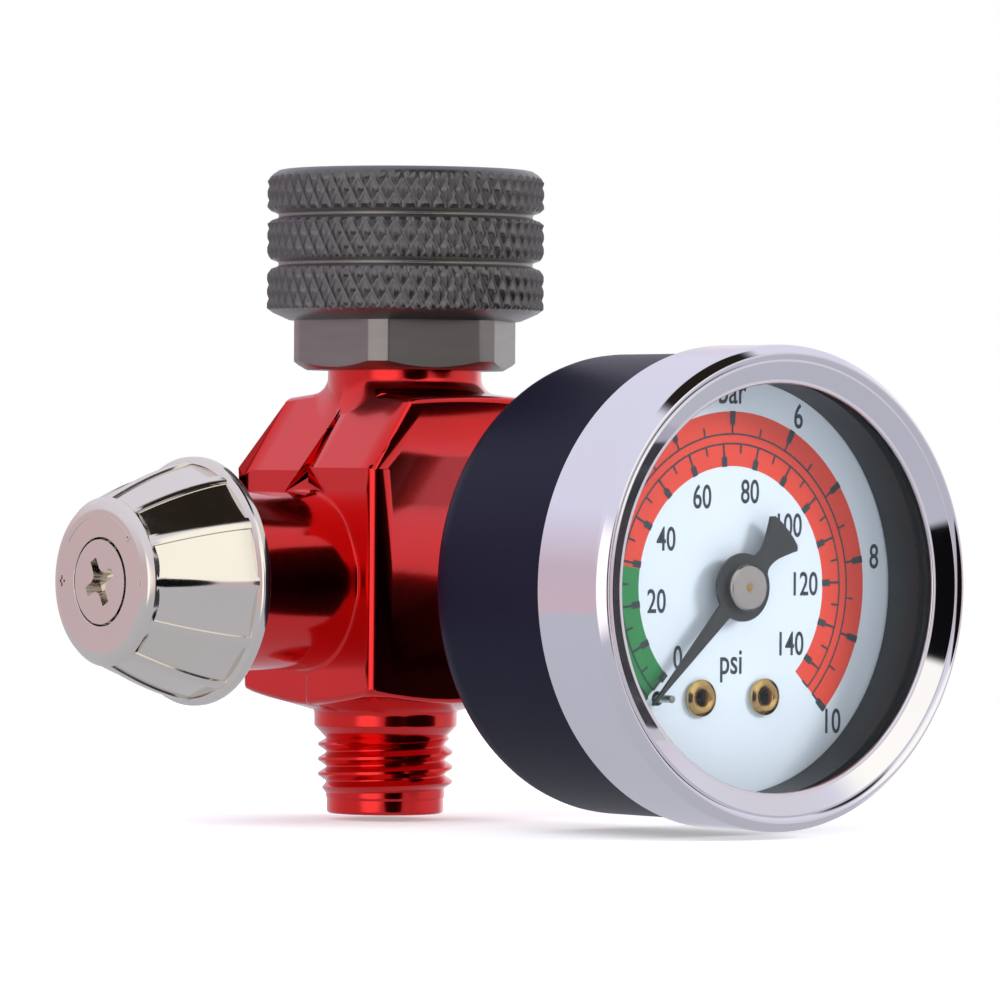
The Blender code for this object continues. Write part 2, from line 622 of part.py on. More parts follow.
def make_bourdon_tube():
    root_angle = 258.0
    tip_angle = -44.0
    solid = swept_bar(TUBE_RADIUS, 0.9, 17.4, 22.6, root_angle, tip_angle, 28)
    hollow = swept_bar(TUBE_RADIUS, 0.45, 17.9, 22.1, root_angle + 3, tip_angle + 6, 28)
    node("bourdon_tube", cut(solid, hollow), "bronze", at_gauge(TUBE_ROOT))

    beyond = tip_angle - 1.5
    plate_outline = [on_dial(TUBE_RADIUS - 1.3, beyond), on_dial(TUBE_RADIUS + 1.3, beyond),
                     (TIP_PIN[0] + 1.0, TIP_PIN[1] - 0.6), (TIP_PIN[0] - 0.9, TIP_PIN[1] - 0.9)]
    plate = prism(placed(plate_outline), GAUGE_FRONT + 12.7, GAUGE_FRONT + 22.4)
    relief = box(at_gauge((3.5, -20.0), 14.2), at_gauge((12.0, -11.3), 17.3))
    pin = rod(0.3, Y_AXIS, at_gauge(TIP_PIN), 11.5, 13.2, 12)
    node("tube_tip", joined(cut(plate, relief), pin), "bronze", at_gauge(TUBE_ROOT))


PILLAR_PLACES = {"left": (-6.6, 3.0), "right": (6.6, 3.0)}


def make_movement_frame():
    """Two plates that carry the arbor and the sector's pivot, held apart by pillars with long screws."""
    corners = [(-8.2, 4.6), (-8.2, 1.6), (-2.4, -9.2), (2.4, -9.2), (8.2, 1.6), (8.2, 4.6)]
    holes = [(0.75, (0, 0)), (0.75, SECTOR_PIVOT)] + [(0.95, place) for place in PILLAR_PLACES.values()]
    for name, low in (("movement_front_plate", 10.0), ("movement_back_plate", 14.5)):
        plate = soften(prism(placed(corners), GAUGE_FRONT + low, GAUGE_FRONT + low + 0.9), 0.15)
        for radius, place in holes:
            plate = cut(plate, rod(radius, Y_AXIS, at_gauge(place), low - 1, low + 2, 16))
        node(name, plate, "brass")
    for side, place in PILLAR_PLACES.items():
        pillar = tube(1.5, 0.95, Y_AXIS, at_gauge(place), 11.2, 14.2, 20)
        node("movement_pillar_" + side, pillar, "brass")
        screw = lathe([(0, 9.0), (1.4, 9.0), (1.5, 9.2), (1.5, 9.7), (0.65, 9.7), (0.65, 19.0), (0, 19.4)],
                      Y_AXIS, at_gauge(place), 16)
        across, up = place
        slot = box(at_gauge((across - 2, up - 0.16), 8.5), at_gauge((across + 2, up + 0.16), 9.3))
        node("movement_screw_" + side, cut(screw, slot), "steel")


def make_hairspring():
    """Flat spiral of three turns; its outline runs out along one side and back along the other."""
    turns = 3
    per_turn = 16
    inner = 1.7
    growth = 0.75
    half_thick = 0.09
    steps = range(turns * per_turn + 1)
    out = [on_dial(inner + growth * step / per_turn - half_thick, 360 * step / per_turn) for step in steps]
    back = [on_dial(inner + growth * step / per_turn + half_thick, 360 * step / per_turn) for step in steps]
    outline = out + back[::-1]
    node("hairspring", prism(placed(outline), GAUGE_FRONT + 13.75, GAUGE_FRONT + 14.15), "bronze")


def make_socket():
    """Gauge socket: the movement's seat, the tube's foot, a square for the spanner and the threaded stem."""
    inside = box(at_gauge((-8.6, 1.2), 15.8), at_gauge((8.6, 4.8), 25.2))
    spine = box(at_gauge((-3.4, -11.6), 15.8), at_gauge((3.4, 4.0), 25.2))
    foot = box(at_gauge((-2.3, -15.2), 16.4), at_gauge((2.2, -11.0), 24.0))
    through = rod(5.1, Y_AXIS, FRONT_CENTRE, 24.6, 27.6, 28)
    half = SQUARE / 2
    square = soften(box(at_gauge((-half, -half), CASE_BACK + GAP),
                        at_gauge((half, half), -13.9 - GAUGE_FRONT)), 0.4)
    collar = rod(6.2, Y_AXIS, GAUGE_CENTRE, -14.6, -12.9, 28)
    thread = lathe([(0, -13.2), (4.6, -13.2), (4.6, -4.2), (4.0, -3.4), (0, -3.4)], Y_AXIS, GAUGE_CENTRE, 28)
    bore = rod(1.1, Y_AXIS, GAUGE_CENTRE, -31.0, -3.0, 16)
    down = rod(0.9, Z_AXIS, (GAUGE_X, GAUGE_FRONT + 20.0, 0), AXIS_Z - 13.5, AXIS_Z, 16)
    across = rod(0.9, X_AXIS, (0, GAUGE_FRONT + 20.0, AXIS_Z - 13.1), GAUGE_X - 3.0, GAUGE_X, 16)
    holes = [rod(0.9, Y_AXIS, at_gauge(place), 15.0, 20.4, 16) for place in PILLAR_PLACES.values()]
    whole = joined(inside, spine, foot, through, square, collar, thread)
    node("gauge_socket", cut(whole, bore, down, across, *holes), "brass")

    node("stem_seal", tube(6.6, 5.0, Y_AXIS, GAUGE_CENTRE, -12.6, -11.1, 28), "rubber")


def main():
    clear_scene()
    make_body()
    make_valve()
    make_knob()
    make_swivel_nut()
    make_gauge_housing()
    make_dial()
    make_pointer()
    make_arbor()
    tail_pin = make_sector()
    make_link(tail_pin)
    make_bourdon_tube()
    make_movement_frame()
    make_hairspring()
    make_socket()


main()
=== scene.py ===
# %% [markdown]
# # An in-line air regulator with a pressure gauge
# This lesson dresses the working model of a small air regulator, the kind that screws on between an
# air hose and an airbrush or a spray gun. The working model already fixes every size and every joint.
# Each cell below makes one visible piece around it, or one finish, in the order a maker would.

# %% Load the working model
import json
import math

import bmesh
import bpy
from mathutils import Matrix, Vector

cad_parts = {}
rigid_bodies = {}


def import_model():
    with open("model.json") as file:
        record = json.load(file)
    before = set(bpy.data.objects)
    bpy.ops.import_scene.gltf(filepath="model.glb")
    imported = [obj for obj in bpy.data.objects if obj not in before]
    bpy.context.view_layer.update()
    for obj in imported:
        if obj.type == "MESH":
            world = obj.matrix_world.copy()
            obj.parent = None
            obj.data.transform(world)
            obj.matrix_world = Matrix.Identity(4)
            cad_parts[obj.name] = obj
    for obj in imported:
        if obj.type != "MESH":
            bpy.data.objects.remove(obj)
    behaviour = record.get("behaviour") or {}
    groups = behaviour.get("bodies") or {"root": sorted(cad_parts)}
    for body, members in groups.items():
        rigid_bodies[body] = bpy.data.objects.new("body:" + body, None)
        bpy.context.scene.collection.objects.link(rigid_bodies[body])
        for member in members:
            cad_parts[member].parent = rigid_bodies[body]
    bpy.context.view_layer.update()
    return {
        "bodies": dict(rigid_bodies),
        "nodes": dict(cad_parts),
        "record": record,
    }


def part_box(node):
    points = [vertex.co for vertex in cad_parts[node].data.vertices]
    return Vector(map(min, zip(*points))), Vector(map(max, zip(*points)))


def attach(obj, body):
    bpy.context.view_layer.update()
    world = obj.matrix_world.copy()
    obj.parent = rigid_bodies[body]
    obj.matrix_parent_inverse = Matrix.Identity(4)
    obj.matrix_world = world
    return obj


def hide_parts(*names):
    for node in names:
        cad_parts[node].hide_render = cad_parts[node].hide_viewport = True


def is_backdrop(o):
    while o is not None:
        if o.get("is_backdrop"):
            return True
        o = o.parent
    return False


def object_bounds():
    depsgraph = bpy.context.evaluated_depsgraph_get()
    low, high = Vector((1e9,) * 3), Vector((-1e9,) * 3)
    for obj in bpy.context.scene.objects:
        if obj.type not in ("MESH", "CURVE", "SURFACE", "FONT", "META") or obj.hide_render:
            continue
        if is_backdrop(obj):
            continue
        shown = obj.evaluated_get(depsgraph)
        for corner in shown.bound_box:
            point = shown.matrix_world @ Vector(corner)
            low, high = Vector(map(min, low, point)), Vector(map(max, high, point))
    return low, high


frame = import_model()
kept = set(frame["nodes"].values()) | set(frame["bodies"].values())
for leftover in [item for item in bpy.data.objects if item not in kept]:
    bpy.data.objects.remove(leftover, do_unlink=True)

# %% [markdown]
# ## Where things are
# The inlet thread stands on the Z axis, with its end face at zero. The swivel nut turns about a second
# upright axis, the knob about an axis along X, and the gauge looks along -Y. These places are read from
# the working model, so that the visible pieces fit it without adjustment. Sizes are in millimetres here,
# because that is how such parts are drawn, and each mesh becomes metres when its object is made.

# %% Directions and driving places
MM = 0.001
X_AXIS = Vector((1, 0, 0))
Y_AXIS = Vector((0, 1, 0))
Z_AXIS = Vector((0, 0, 1))


def box_mm(node):
    low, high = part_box(node)
    return low / MM, high / MM


def middle_mm(node):
    low, high = box_mm(node)
    return (low + high) / 2


nut_low, nut_high = box_mm("swivel_nut")
_, body_high = box_mm("body")
bezel_low, _ = box_mm("gauge_bezel")
knob_low, knob_high = box_mm("adjusting_knob")
GAUGE_X, _, AXIS_Z = middle_mm("gauge_bezel")
GAUGE_FRONT = bezel_low.y
NECK_X = middle_mm("swivel_nut").x
INLET = (0, 0, 0)
NECK = (NECK_X, 0, 0)
VALVE = (0, 0, AXIS_Z)
GAUGE = (GAUGE_X, GAUGE_FRONT, AXIS_Z)
print("nut axis at x =", round(NECK_X, 2), "mm; gauge axis at", [round(v, 2) for v in GAUGE])

# %% [markdown]
# ## Camera and light
# A product table is lit with large soft boxes. The strongest stands at the right, so that the pointer's
# shadow falls to the left on the dial. The lens is long and far away, so upright edges stay parallel.

# %% Camera
AZIMUTH = math.radians(-38.7)
ELEVATION = math.radians(0.3)
ROLL = math.radians(0.37)
DISTANCE = 677.0
AIM = Vector((14.1, 0.0, 30.5))

back = Vector((math.sin(AZIMUTH) * math.cos(ELEVATION), -math.cos(AZIMUTH) * math.cos(ELEVATION),
               math.sin(ELEVATION)))
level = Vector((math.cos(AZIMUTH), math.sin(AZIMUTH), 0))
upright = back.cross(level)
lens_right = level * math.cos(ROLL) + upright * math.sin(ROLL)
lens_up = back.cross(lens_right)
camera_data = bpy.data.cameras.new("camera")
camera_data.sensor_width = 36.0
camera_data.lens = 247.0
camera_data.clip_start = 0.01
camera = bpy.data.objects.new("camera", camera_data)
turned = Matrix((lens_right, lens_up, back)).transposed().to_4x4()
camera.matrix_world = Matrix.Translation((AIM + back * DISTANCE) * MM) @ turned
bpy.context.scene.collection.objects.link(camera)
bpy.context.scene.camera = camera
print("camera stands at", [round(v, 3) for v in camera.location])

# %% Lights
def soft_box(name, place, aim, size, power, tint=(1.0, 1.0, 1.0)):
    """Rectangular lamp at a place in metres, facing the aim."""
    data = bpy.data.lights.new(name, "AREA")
    data.shape = "RECTANGLE"
    data.size, data.size_y = size
    data.energy = power
    data.color = tint
    lamp = bpy.data.objects.new(name, data)
    lamp.location = place
    lamp.rotation_mode = "QUATERNION"
    lamp.rotation_quaternion = (Vector(place) - Vector(aim)).to_track_quat("Z", "Y")
    lamp.visible_glossy = False
    bpy.context.scene.collection.objects.link(lamp)
    return lamp


CENTRE = (0.008, -0.015, 0.031)
soft_box("left_box", (-0.45, -0.10, 0.45), CENTRE, (0.40, 0.40), 2.5)
soft_box("right_box", (0.45, -0.60, 0.28), CENTRE, (0.22, 0.22), 5.0)
soft_box("low_box", (-0.35, -0.60, 0.02), CENTRE, (0.50, 0.16), 1.2)

# %% [markdown]
# Polished metal shows the room, so the room is drawn with care. It is a gradient by height, pinkish grey
# at the level of the table and pale blue above, with a lighter table top below. A few round patches are
# laid over it: a black one behind the lens, where the dark camera stands, a dark ceiling, and pale walls
# and screens around them. The lens itself sees plain white.

# %% Room
world = bpy.data.worlds.new("studio")
bpy.context.scene.world = world
world.use_nodes = True
room = world.node_tree
room.nodes.clear()
room_out = room.nodes.new("ShaderNodeOutputWorld")
lit = room.nodes.new("ShaderNodeBackground")
seen = room.nodes.new("ShaderNodeBackground")
choose = room.nodes.new("ShaderNodeMixShader")
path = room.nodes.new("ShaderNodeLightPath")
direction = room.nodes.new("ShaderNodeTexCoord")
split = room.nodes.new("ShaderNodeSeparateXYZ")
shade = room.nodes.new("ShaderNodeValToRGB")
lift = room.nodes.new("ShaderNodeMapRange")
lift.inputs["From Min"].default_value = -1.0
stops = shade.color_ramp
stops.elements[0].position = 0.0
stops.elements[0].color = (0.50, 0.50, 0.56, 1)
stops.elements[1].position = 1.0
stops.elements[1].color = (0.80, 0.80, 0.92, 1)
for position, tone in ((0.425, (0.54, 0.54, 0.62)), (0.432, (0.66, 0.50, 0.56)),
                       (0.55, (0.62, 0.50, 0.57)), (0.70, (0.78, 0.76, 0.90))):
    stop = stops.elements.new(position)
    stop.color = (*tone, 1)
seen.inputs["Color"].default_value = (1.0, 1.0, 1.0, 1)
room.links.new(direction.outputs["Generated"], split.inputs[0])
room.links.new(split.outputs["Z"], lift.inputs["Value"])
room.links.new(lift.outputs["Result"], shade.inputs["Fac"])


def patch(below, towards, inner, outer, tone):
    """Round patch of the room in one direction, solid to the inner angle and gone at the outer one."""
    aim = room.nodes.new("ShaderNodeVectorMath")
    aim.operation = "DOT_PRODUCT"
    aim.inputs[1].default_value = Vector(towards).normalized()
    edge = room.nodes.new("ShaderNodeMapRange")
    edge.interpolation_type = "SMOOTHSTEP"
    edge.inputs["From Min"].default_value = math.cos(math.radians(outer))
    edge.inputs["From Max"].default_value = math.cos(math.radians(inner))
    cover = room.nodes.new("ShaderNodeMix")
    cover.data_type = "RGBA"
    cover.inputs["B"].default_value = (*tone, 1)
    room.links.new(direction.outputs["Generated"], aim.inputs[0])
    room.links.new(aim.outputs["Value"], edge.inputs["Value"])
    room.links.new(edge.outputs["Result"], cover.inputs["Factor"])
    room.links.new(below, cover.inputs["A"])
    return cover.outputs["Result"]


walls = shade.outputs["Color"]
walls = patch(walls, (0.05, -0.85, 0.50), 18, 30, (1.15, 1.13, 1.06))
walls = patch(walls, (0.75, -0.60, 0.25), 12, 40, (0.72, 0.70, 0.74))
walls = patch(walls, (0.15, -0.19, 0.97), 17, 25, (0.02, 0.015, 0.012))
walls = patch(walls, (0.85, 0.50, 0.05), 10, 30, (0.92, 0.92, 0.96))
walls = patch(walls, (-0.92, -0.39, 0.05), 14, 26, (1.35, 1.25, 1.25))
walls = patch(walls, (-0.37, -0.93, 0.01), 17.5, 20, (0.004, 0.004, 0.005))
room.links.new(walls, lit.inputs["Color"])
room.links.new(path.outputs["Is Camera Ray"], choose.inputs["Fac"])
room.links.new(lit.outputs[0], choose.inputs[1])
room.links.new(seen.outputs[0], choose.inputs[2])
room.links.new(choose.outputs[0], room_out.inputs["Surface"])
bpy.context.scene.view_settings.view_transform = "Standard"

# %% Floor
FLOOR_RADIUS = 0.34
floor_bm = bmesh.new()
bmesh.ops.create_circle(floor_bm, cap_ends=True, segments=96, radius=FLOOR_RADIUS)
floor_mesh = bpy.data.meshes.new("floor")
floor_bm.to_mesh(floor_mesh)
floor_bm.free()
floor = bpy.data.objects.new("floor", floor_mesh)
floor.location.z = -0.0006
bpy.context.scene.collection.objects.link(floor)
paper = bpy.data.materials.new("pale_paper")
paper.use_nodes = True
paper_shader = paper.node_tree.nodes["Principled BSDF"]
paper_shader.inputs["Base Color"].default_value = (0.86, 0.86, 0.87, 1)
paper_shader.inputs["Roughness"].default_value = 0.9
paper_shader.inputs["Emission Color"].default_value = (1, 1, 1, 1)
paper_shader.inputs["Emission Strength"].default_value = 0.35
floor_mesh.materials.append(paper)
floor.visible_glossy = False
floor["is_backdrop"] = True

# %% [markdown]
# ## Helpers for turned parts
# Nearly everything here is turned on a lathe, so most pieces are a profile spun round an axis. A profile
# is written as corner points with a corner radius, and the helper rounds each corner, because a real
# turned edge always has a small break that catches the light.

# %% Profile and lathe
def rounded(corners, steps=4):
    """Round the corners of an open outline. Each corner is (u, v) or (u, v, radius)."""
    points = [Vector(corner[:2]) for corner in corners]
    outline = [points[0]]
    for index in range(1, len(points) - 1):
        here = points[index]
        radius = corners[index][2] if len(corners[index]) > 2 else 0.0
        before = points[index - 1] - here
        after = points[index + 1] - here
        if radius == 0.0:
            outline.append(here)
            continue
        half = before.angle(after) / 2
        run = min(radius / math.tan(half), 0.49 * before.length, 0.49 * after.length)
        start = here + before.normalized() * run
        end = here + after.normalized() * run
        for step in range(steps + 1):
            t = step / steps
            outline.append(start * (1 - t) ** 2 + here * 2 * t * (1 - t) + end * t ** 2)
    outline.append(points[-1])
    return outline


def tidy(bm, distance=1e-4):
    bmesh.ops.remove_doubles(bm, verts=bm.verts, dist=distance)
    bmesh.ops.recalc_face_normals(bm, faces=bm.faces)
    return bm


def lathe(profile, axis, centre, steps=128, ring=False, start=0.0):
    """Turn (radius, height) points about an axis; ring closes the profile on itself."""
    side = Y_AXIS if abs(axis.x) > 0.5 else X_AXIS
    side = Matrix.Rotation(math.radians(start), 3, axis) @ side
    centre = Vector(centre)
    bm = bmesh.new()
    points = [bm.verts.new(centre + side * u + axis * v) for u, v in profile]
    edges = [bm.edges.new(pair) for pair in zip(points, points[1:])]
    if ring:
        edges.append(bm.edges.new((points[-1], points[0])))
    bmesh.ops.spin(bm, geom=points + edges, cent=centre, axis=axis, dvec=(0, 0, 0),
                   angle=2 * math.pi, steps=steps, use_merge=True, use_duplicate=False)
    return tidy(bm)


def bevelled(bm, width, segments=2, limit=25.0):
    sharp = [edge for edge in bm.edges if edge.calc_face_angle(0.0) > math.radians(limit)]
    bmesh.ops.bevel(bm, geom=sharp, offset=width, affect="EDGES", segments=segments,
                    profile=0.5, material=-1)
    return tidy(bm)


def merged(*parts):
    """Put several bmeshes into the first one."""
    whole = parts[0]
    for part in parts[1:]:
        mesh = bpy.data.meshes.new("part")
        part.to_mesh(mesh)
        part.free()
        whole.from_mesh(mesh)
        bpy.data.meshes.remove(mesh)
    return whole


def piece(name, bm, finish, body, nodes=(), sharp=30.0):
    """Make the object in metres, with its finish, and hang it on its body.

    Normals are weighted by area, so a flat face stays flat right up to its rounded edge.
    """
    bmesh.ops.scale(bm, verts=bm.verts, vec=(MM, MM, MM))
    mesh = bpy.data.meshes.new(name)
    bm.to_mesh(mesh)
    bm.free()
    mesh.materials.append(finish)
    mesh.shade_smooth()
    mesh.set_sharp_from_angle(angle=math.radians(sharp))
    made = bpy.data.objects.new(name, mesh)
    bpy.context.scene.collection.objects.link(made)
    flat = made.modifiers.new("flat_faces", "WEIGHTED_NORMAL")
    flat.keep_sharp = True
    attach(made, body)
    if nodes:
        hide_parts(*nodes)
    print(name, "has", len(mesh.polygons), "faces")
    return made


# %% [markdown]
# ## Finishes
# Each finish is one Principled shader. Noise on Object coordinates varies its colour a little and its
# roughness more, and a bump gives the surface its grain. The object is only 65 mm long, so the noise
# scales are in the hundreds and thousands per metre. Brushed and turned metal stretches its noise along
# the direction that the tool ran.

# %% Finish maker
def finish(name, colour, rough, metal, tone=0.06, rough_spread=0.06, grain=900.0, stretch=(1, 1, 1),
           bump=0.04, bump_reach=0.02, coat=0.0, coat_rough=0.08, alpha=1.0, deep=None, spec=0.5):
    """Principled finish with noise in its colour, roughness and bump; deep is a second, darker colour."""
    made = bpy.data.materials.new(name)
    made.use_nodes = True
    tree = made.node_tree
    shader = tree.nodes["Principled BSDF"]
    coords = tree.nodes.new("ShaderNodeTexCoord")
    place = tree.nodes.new("ShaderNodeMapping")
    place.inputs["Scale"].default_value = stretch
    tree.links.new(coords.outputs["Object"], place.inputs["Vector"])

    def noise(scale, detail):
        made_noise = tree.nodes.new("ShaderNodeTexNoise")
        made_noise.inputs["Scale"].default_value = scale
        made_noise.inputs["Detail"].default_value = detail
        tree.links.new(place.outputs["Vector"], made_noise.inputs["Vector"])
        return made_noise.outputs["Fac"]

    def ramp(value, low, high):
        spread = tree.nodes.new("ShaderNodeMapRange")
        spread.inputs["To Min"].default_value = low
        spread.inputs["To Max"].default_value = high
        tree.links.new(value, spread.inputs["Value"])
        return spread.outputs["Result"]

    broad = noise(grain * 0.12, 3.0)
    fine = noise(grain, 4.0)
    blend = tree.nodes.new("ShaderNodeMix")
    blend.data_type = "RGBA"
    darker = deep or [channel * (1 - 2 * tone) for channel in colour]
    blend.inputs["A"].default_value = (*darker, 1)
    blend.inputs["B"].default_value = (*colour, 1)
    tree.links.new(ramp(broad, 0.2, 1.3), blend.inputs["Factor"])
    tree.links.new(blend.outputs["Result"], shader.inputs["Base Color"])
    tree.links.new(ramp(fine, max(rough - rough_spread, 0.02), rough + rough_spread),
                   shader.inputs["Roughness"])
    shader.inputs["Metallic"].default_value = metal
    shader.inputs["Specular IOR Level"].default_value = spec
    shader.inputs["Coat Weight"].default_value = coat
    shader.inputs["Coat Roughness"].default_value = coat_rough
    shader.inputs["Alpha"].default_value = alpha
    if bump:
        relief = tree.nodes.new("ShaderNodeBump")
        relief.inputs["Strength"].default_value = bump
        relief.inputs["Distance"].default_value = bump_reach * MM
        tree.links.new(fine, relief.inputs["Height"])
        tree.links.new(relief.outputs["Normal"], shader.inputs["Normal"])
    return made


# %% [markdown]
# The regulator's body is aluminium with a red dye sealed under a clear oxide, so it shines red from the
# metal and white from the skin on top: a metallic base with a thin coat. The nut is plated dark grey and
# the hexagon was milled, the knob is a nickel-plated casting, and the gauge has a chromed ring on an
# enamelled case. The gauge's brass stem is blackened, so the block beside it reflects only dark.

# %% The finishes of this object
ANODISED_RED = finish("anodised_red", (0.80, 0.004, 0.003), 0.17, 1.0, tone=0.10, rough_spread=0.05,
                      grain=1500.0, bump=0.10, bump_reach=0.006, coat=0.80, coat_rough=0.10)
GUNMETAL = finish("gunmetal", (0.150, 0.147, 0.143), 0.30, 0.94, tone=0.12, rough_spread=0.10,
                  grain=2600.0, bump=0.25, bump_reach=0.012)
MILLED_GUNMETAL = finish("milled_gunmetal", (0.27, 0.26, 0.245), 0.33, 0.95, tone=0.10,
                         rough_spread=0.08, grain=1300.0, stretch=(1, 1, 6), bump=0.22, bump_reach=0.010)
NICKEL = finish("satin_nickel", (0.84, 0.80, 0.72), 0.11, 1.0, tone=0.05, rough_spread=0.05,
                grain=700.0, bump=0.10, bump_reach=0.015)
CHROME = finish("bright_chrome", (0.86, 0.85, 0.89), 0.05, 1.0, tone=0.03, rough_spread=0.025,
                grain=500.0, bump=0.03, bump_reach=0.02)
ENAMEL = finish("black_enamel", (0.003, 0.003, 0.014), 0.40, 0.0, tone=0.10, rough_spread=0.04,
                grain=1800.0, bump=0.12, bump_reach=0.008, spec=0.16)
BLACK_PLASTIC = finish("black_plastic", (0.004, 0.004, 0.005), 0.40, 0.0, grain=2200.0, bump=0.15,
                       spec=0.25)
DIAL_WHITE = finish("dial_white", (0.62, 0.72, 0.80), 0.45, 0.0, tone=0.02, rough_spread=0.04,
                    grain=1600.0, bump=0.03, bump_reach=0.004)
RED_INK = finish("red_ink", (0.66, 0.055, 0.03), 0.5, 0.0, tone=0.04, grain=2400.0, bump=0.05)
GREEN_INK = finish("green_ink", (0.022, 0.22, 0.062), 0.5, 0.0, tone=0.04, grain=2400.0, bump=0.05)
BLACK_INK = finish("black_ink", (0.030, 0.040, 0.052), 0.5, 0.0, tone=0.05, grain=2400.0, bump=0.05)
POINTER_BLACK = finish("pointer_black", (0.028, 0.031, 0.031), 0.42, 0.0, tone=0.06, grain=3000.0,
                       bump=0.20, bump_reach=0.006)
BRUSHED = finish("brushed_cap", (0.66, 0.64, 0.60), 0.22, 1.0, tone=0.08, rough_spread=0.08,
                 grain=2500.0, bump=0.10, bump_reach=0.006)
BRASS = finish("eyelet_brass", (0.80, 0.55, 0.20), 0.16, 1.0, tone=0.08, grain=1800.0, bump=0.06)
TURNED_BRASS = finish("turned_brass", (0.68, 0.47, 0.18), 0.26, 1.0, tone=0.10, rough_spread=0.08,
                      grain=1500.0, stretch=(1, 5, 1), bump=0.15, bump_reach=0.010)
BLACKENED = finish("blackened_brass", (0.020, 0.017, 0.014), 0.45, 0.3, tone=0.10, grain=1500.0, spec=0.2,
                   bump=0.12, bump_reach=0.010)
STEEL = finish("turned_steel", (0.52, 0.52, 0.51), 0.28, 1.0, tone=0.08, rough_spread=0.08,
               grain=1800.0, bump=0.12, bump_reach=0.008)
BRONZE = finish("spring_bronze", (0.50, 0.29, 0.12), 0.28, 1.0, tone=0.10, grain=1600.0, bump=0.10)
RUBBER = finish("black_rubber", (0.018, 0.018, 0.018), 0.65, 0.0, grain=2600.0, bump=0.25)
SEAL = finish("seal_plastic", (0.74, 0.72, 0.68), 0.45, 0.0, grain=1500.0, bump=0.12)
WINDOW = finish("clear_window", (0.10, 0.12, 0.13), 0.04, 0.0, tone=0.01, rough_spread=0.02,
                grain=400.0, bump=0.0, alpha=0.07)

NODE_FINISH = {
    "seal_plastic": SEAL, "black_rubber": RUBBER, "turned_brass": TURNED_BRASS, "turned_steel": STEEL,
    "spring_bronze": BRONZE, "dial_print": DIAL_WHITE, "anodised_red": ANODISED_RED,
    "gunmetal": GUNMETAL, "satin_nickel": NICKEL, "bright_chrome": CHROME, "black_enamel": ENAMEL,
    "black_plastic": BLACK_PLASTIC, "clear_window": WINDOW, "pointer_black": POINTER_BLACK,
    "brushed_cap": BRUSHED, "eyelet_brass": BRASS,
}
for row in frame["record"]["subparts"]:
    mesh = frame["nodes"][row["node"]].data
    mesh.materials.clear()
    mesh.materials.append(NODE_FINISH[row["material_slot"]])
frame["nodes"]["gauge_socket"].data.materials[0] = BLACKENED
print("finishes:", len(bpy.data.materials))

# %% [markdown]
# ## The body's block
# The block was milled from bar. Its upper corners slope in, its rear half stands back by a hair, and its
# top and foot were faced on the lathe to very flat cones. Each half is a six-sided outline extruded along
# Y. The long edges are divided first, so that their points can be dropped onto the cones, and then every
# edge gets its machined radius in one bevel.

# %% Block
BLOCK_LEFT = -10.1
BLOCK_RIGHT = 14.3
BLOCK_DEPTH = body_high.y
REAR_STEP = 0.7
SHOULDER_HEIGHT = 33.6
SHOULDER_SLOPE = 5.2 / 7.4
EDGE = 0.62
TOP_APEX = 41.9
TOP_SLOPE = 4.0 / 32.5
FOOT_APEX = 8.2
FOOT_SLOPE = 0.255
BOSS_RADIUS = 8.6
NECK_RADIUS = 7.5


def block_half(near, far, inset, edge):
    """One half of the block between two Y planes, with its left and right sides moved in by inset."""
    left = BLOCK_LEFT + inset
    right = BLOCK_RIGHT - inset
    centre = (left + right) / 2
    half = (right - left) / 2
    bm = bmesh.new()
    plan = [(left, near), (right, near), (right, far), (left, far)]
    foot = bm.faces.new([bm.verts.new((x, y, 0)) for x, y in plan])
    bmesh.ops.subdivide_edges(bm, edges=bm.edges[:], cuts=9)
    foot = bm.faces[:]
    heights = (SHOULDER_HEIGHT - 0.4 * inset, 41.0)
    rings = [list(bm.verts)]
    for height in heights:
        grown = bmesh.ops.extrude_face_region(bm, geom=foot)["geom"]
        foot = [item for item in grown if isinstance(item, bmesh.types.BMFace)]
        ring = [item for item in grown if isinstance(item, bmesh.types.BMVert)]
        for vert in ring:
            vert.co.z = height
        rings.append(ring)
    for vert in rings[0]:
        vert.co.z = FOOT_APEX + FOOT_SLOPE * math.hypot(vert.co.x, vert.co.y)
    for vert in rings[2]:
        across = (vert.co.x - centre) / half
        for _ in range(3):
            run = SHOULDER_SLOPE * (vert.co.z - heights[0])
            vert.co.x = centre + across * (half - run)
            vert.co.z = TOP_APEX - TOP_SLOPE * math.hypot(vert.co.x - NECK_X, vert.co.y)
    bmesh.ops.recalc_face_normals(bm, faces=bm.faces)
    for wanted, apex in ((1, (NECK_X, 0, TOP_APEX)), (-1, (0, 0, FOOT_APEX))):
        cap = [face for face in bm.faces if face.normal.z * wanted > 0.9]
        poked = bmesh.ops.poke(bm, faces=cap)
        for vert in poked["verts"]:
            vert.co = apex
    return bevelled(bm, edge, 4, 22.0)


block = merged(block_half(-BLOCK_DEPTH, 0.0, 0.0, EDGE), block_half(-2.0, BLOCK_DEPTH, REAR_STEP, EDGE))

# %% [markdown]
# ## Boss, neck and inlet
# The boss that carries the knob, the neck under the nut and the inlet spigot are turned shapes that grow
# out of the block with a small root radius. The neck is a little wider than the block's top, so its root
# is laid over the shoulders by adding their height to each point. The thread is a true right-hand helix:
# one tooth is spun round while it climbs, and its ends are faded into the core, as a thread runs out on a
# real part.

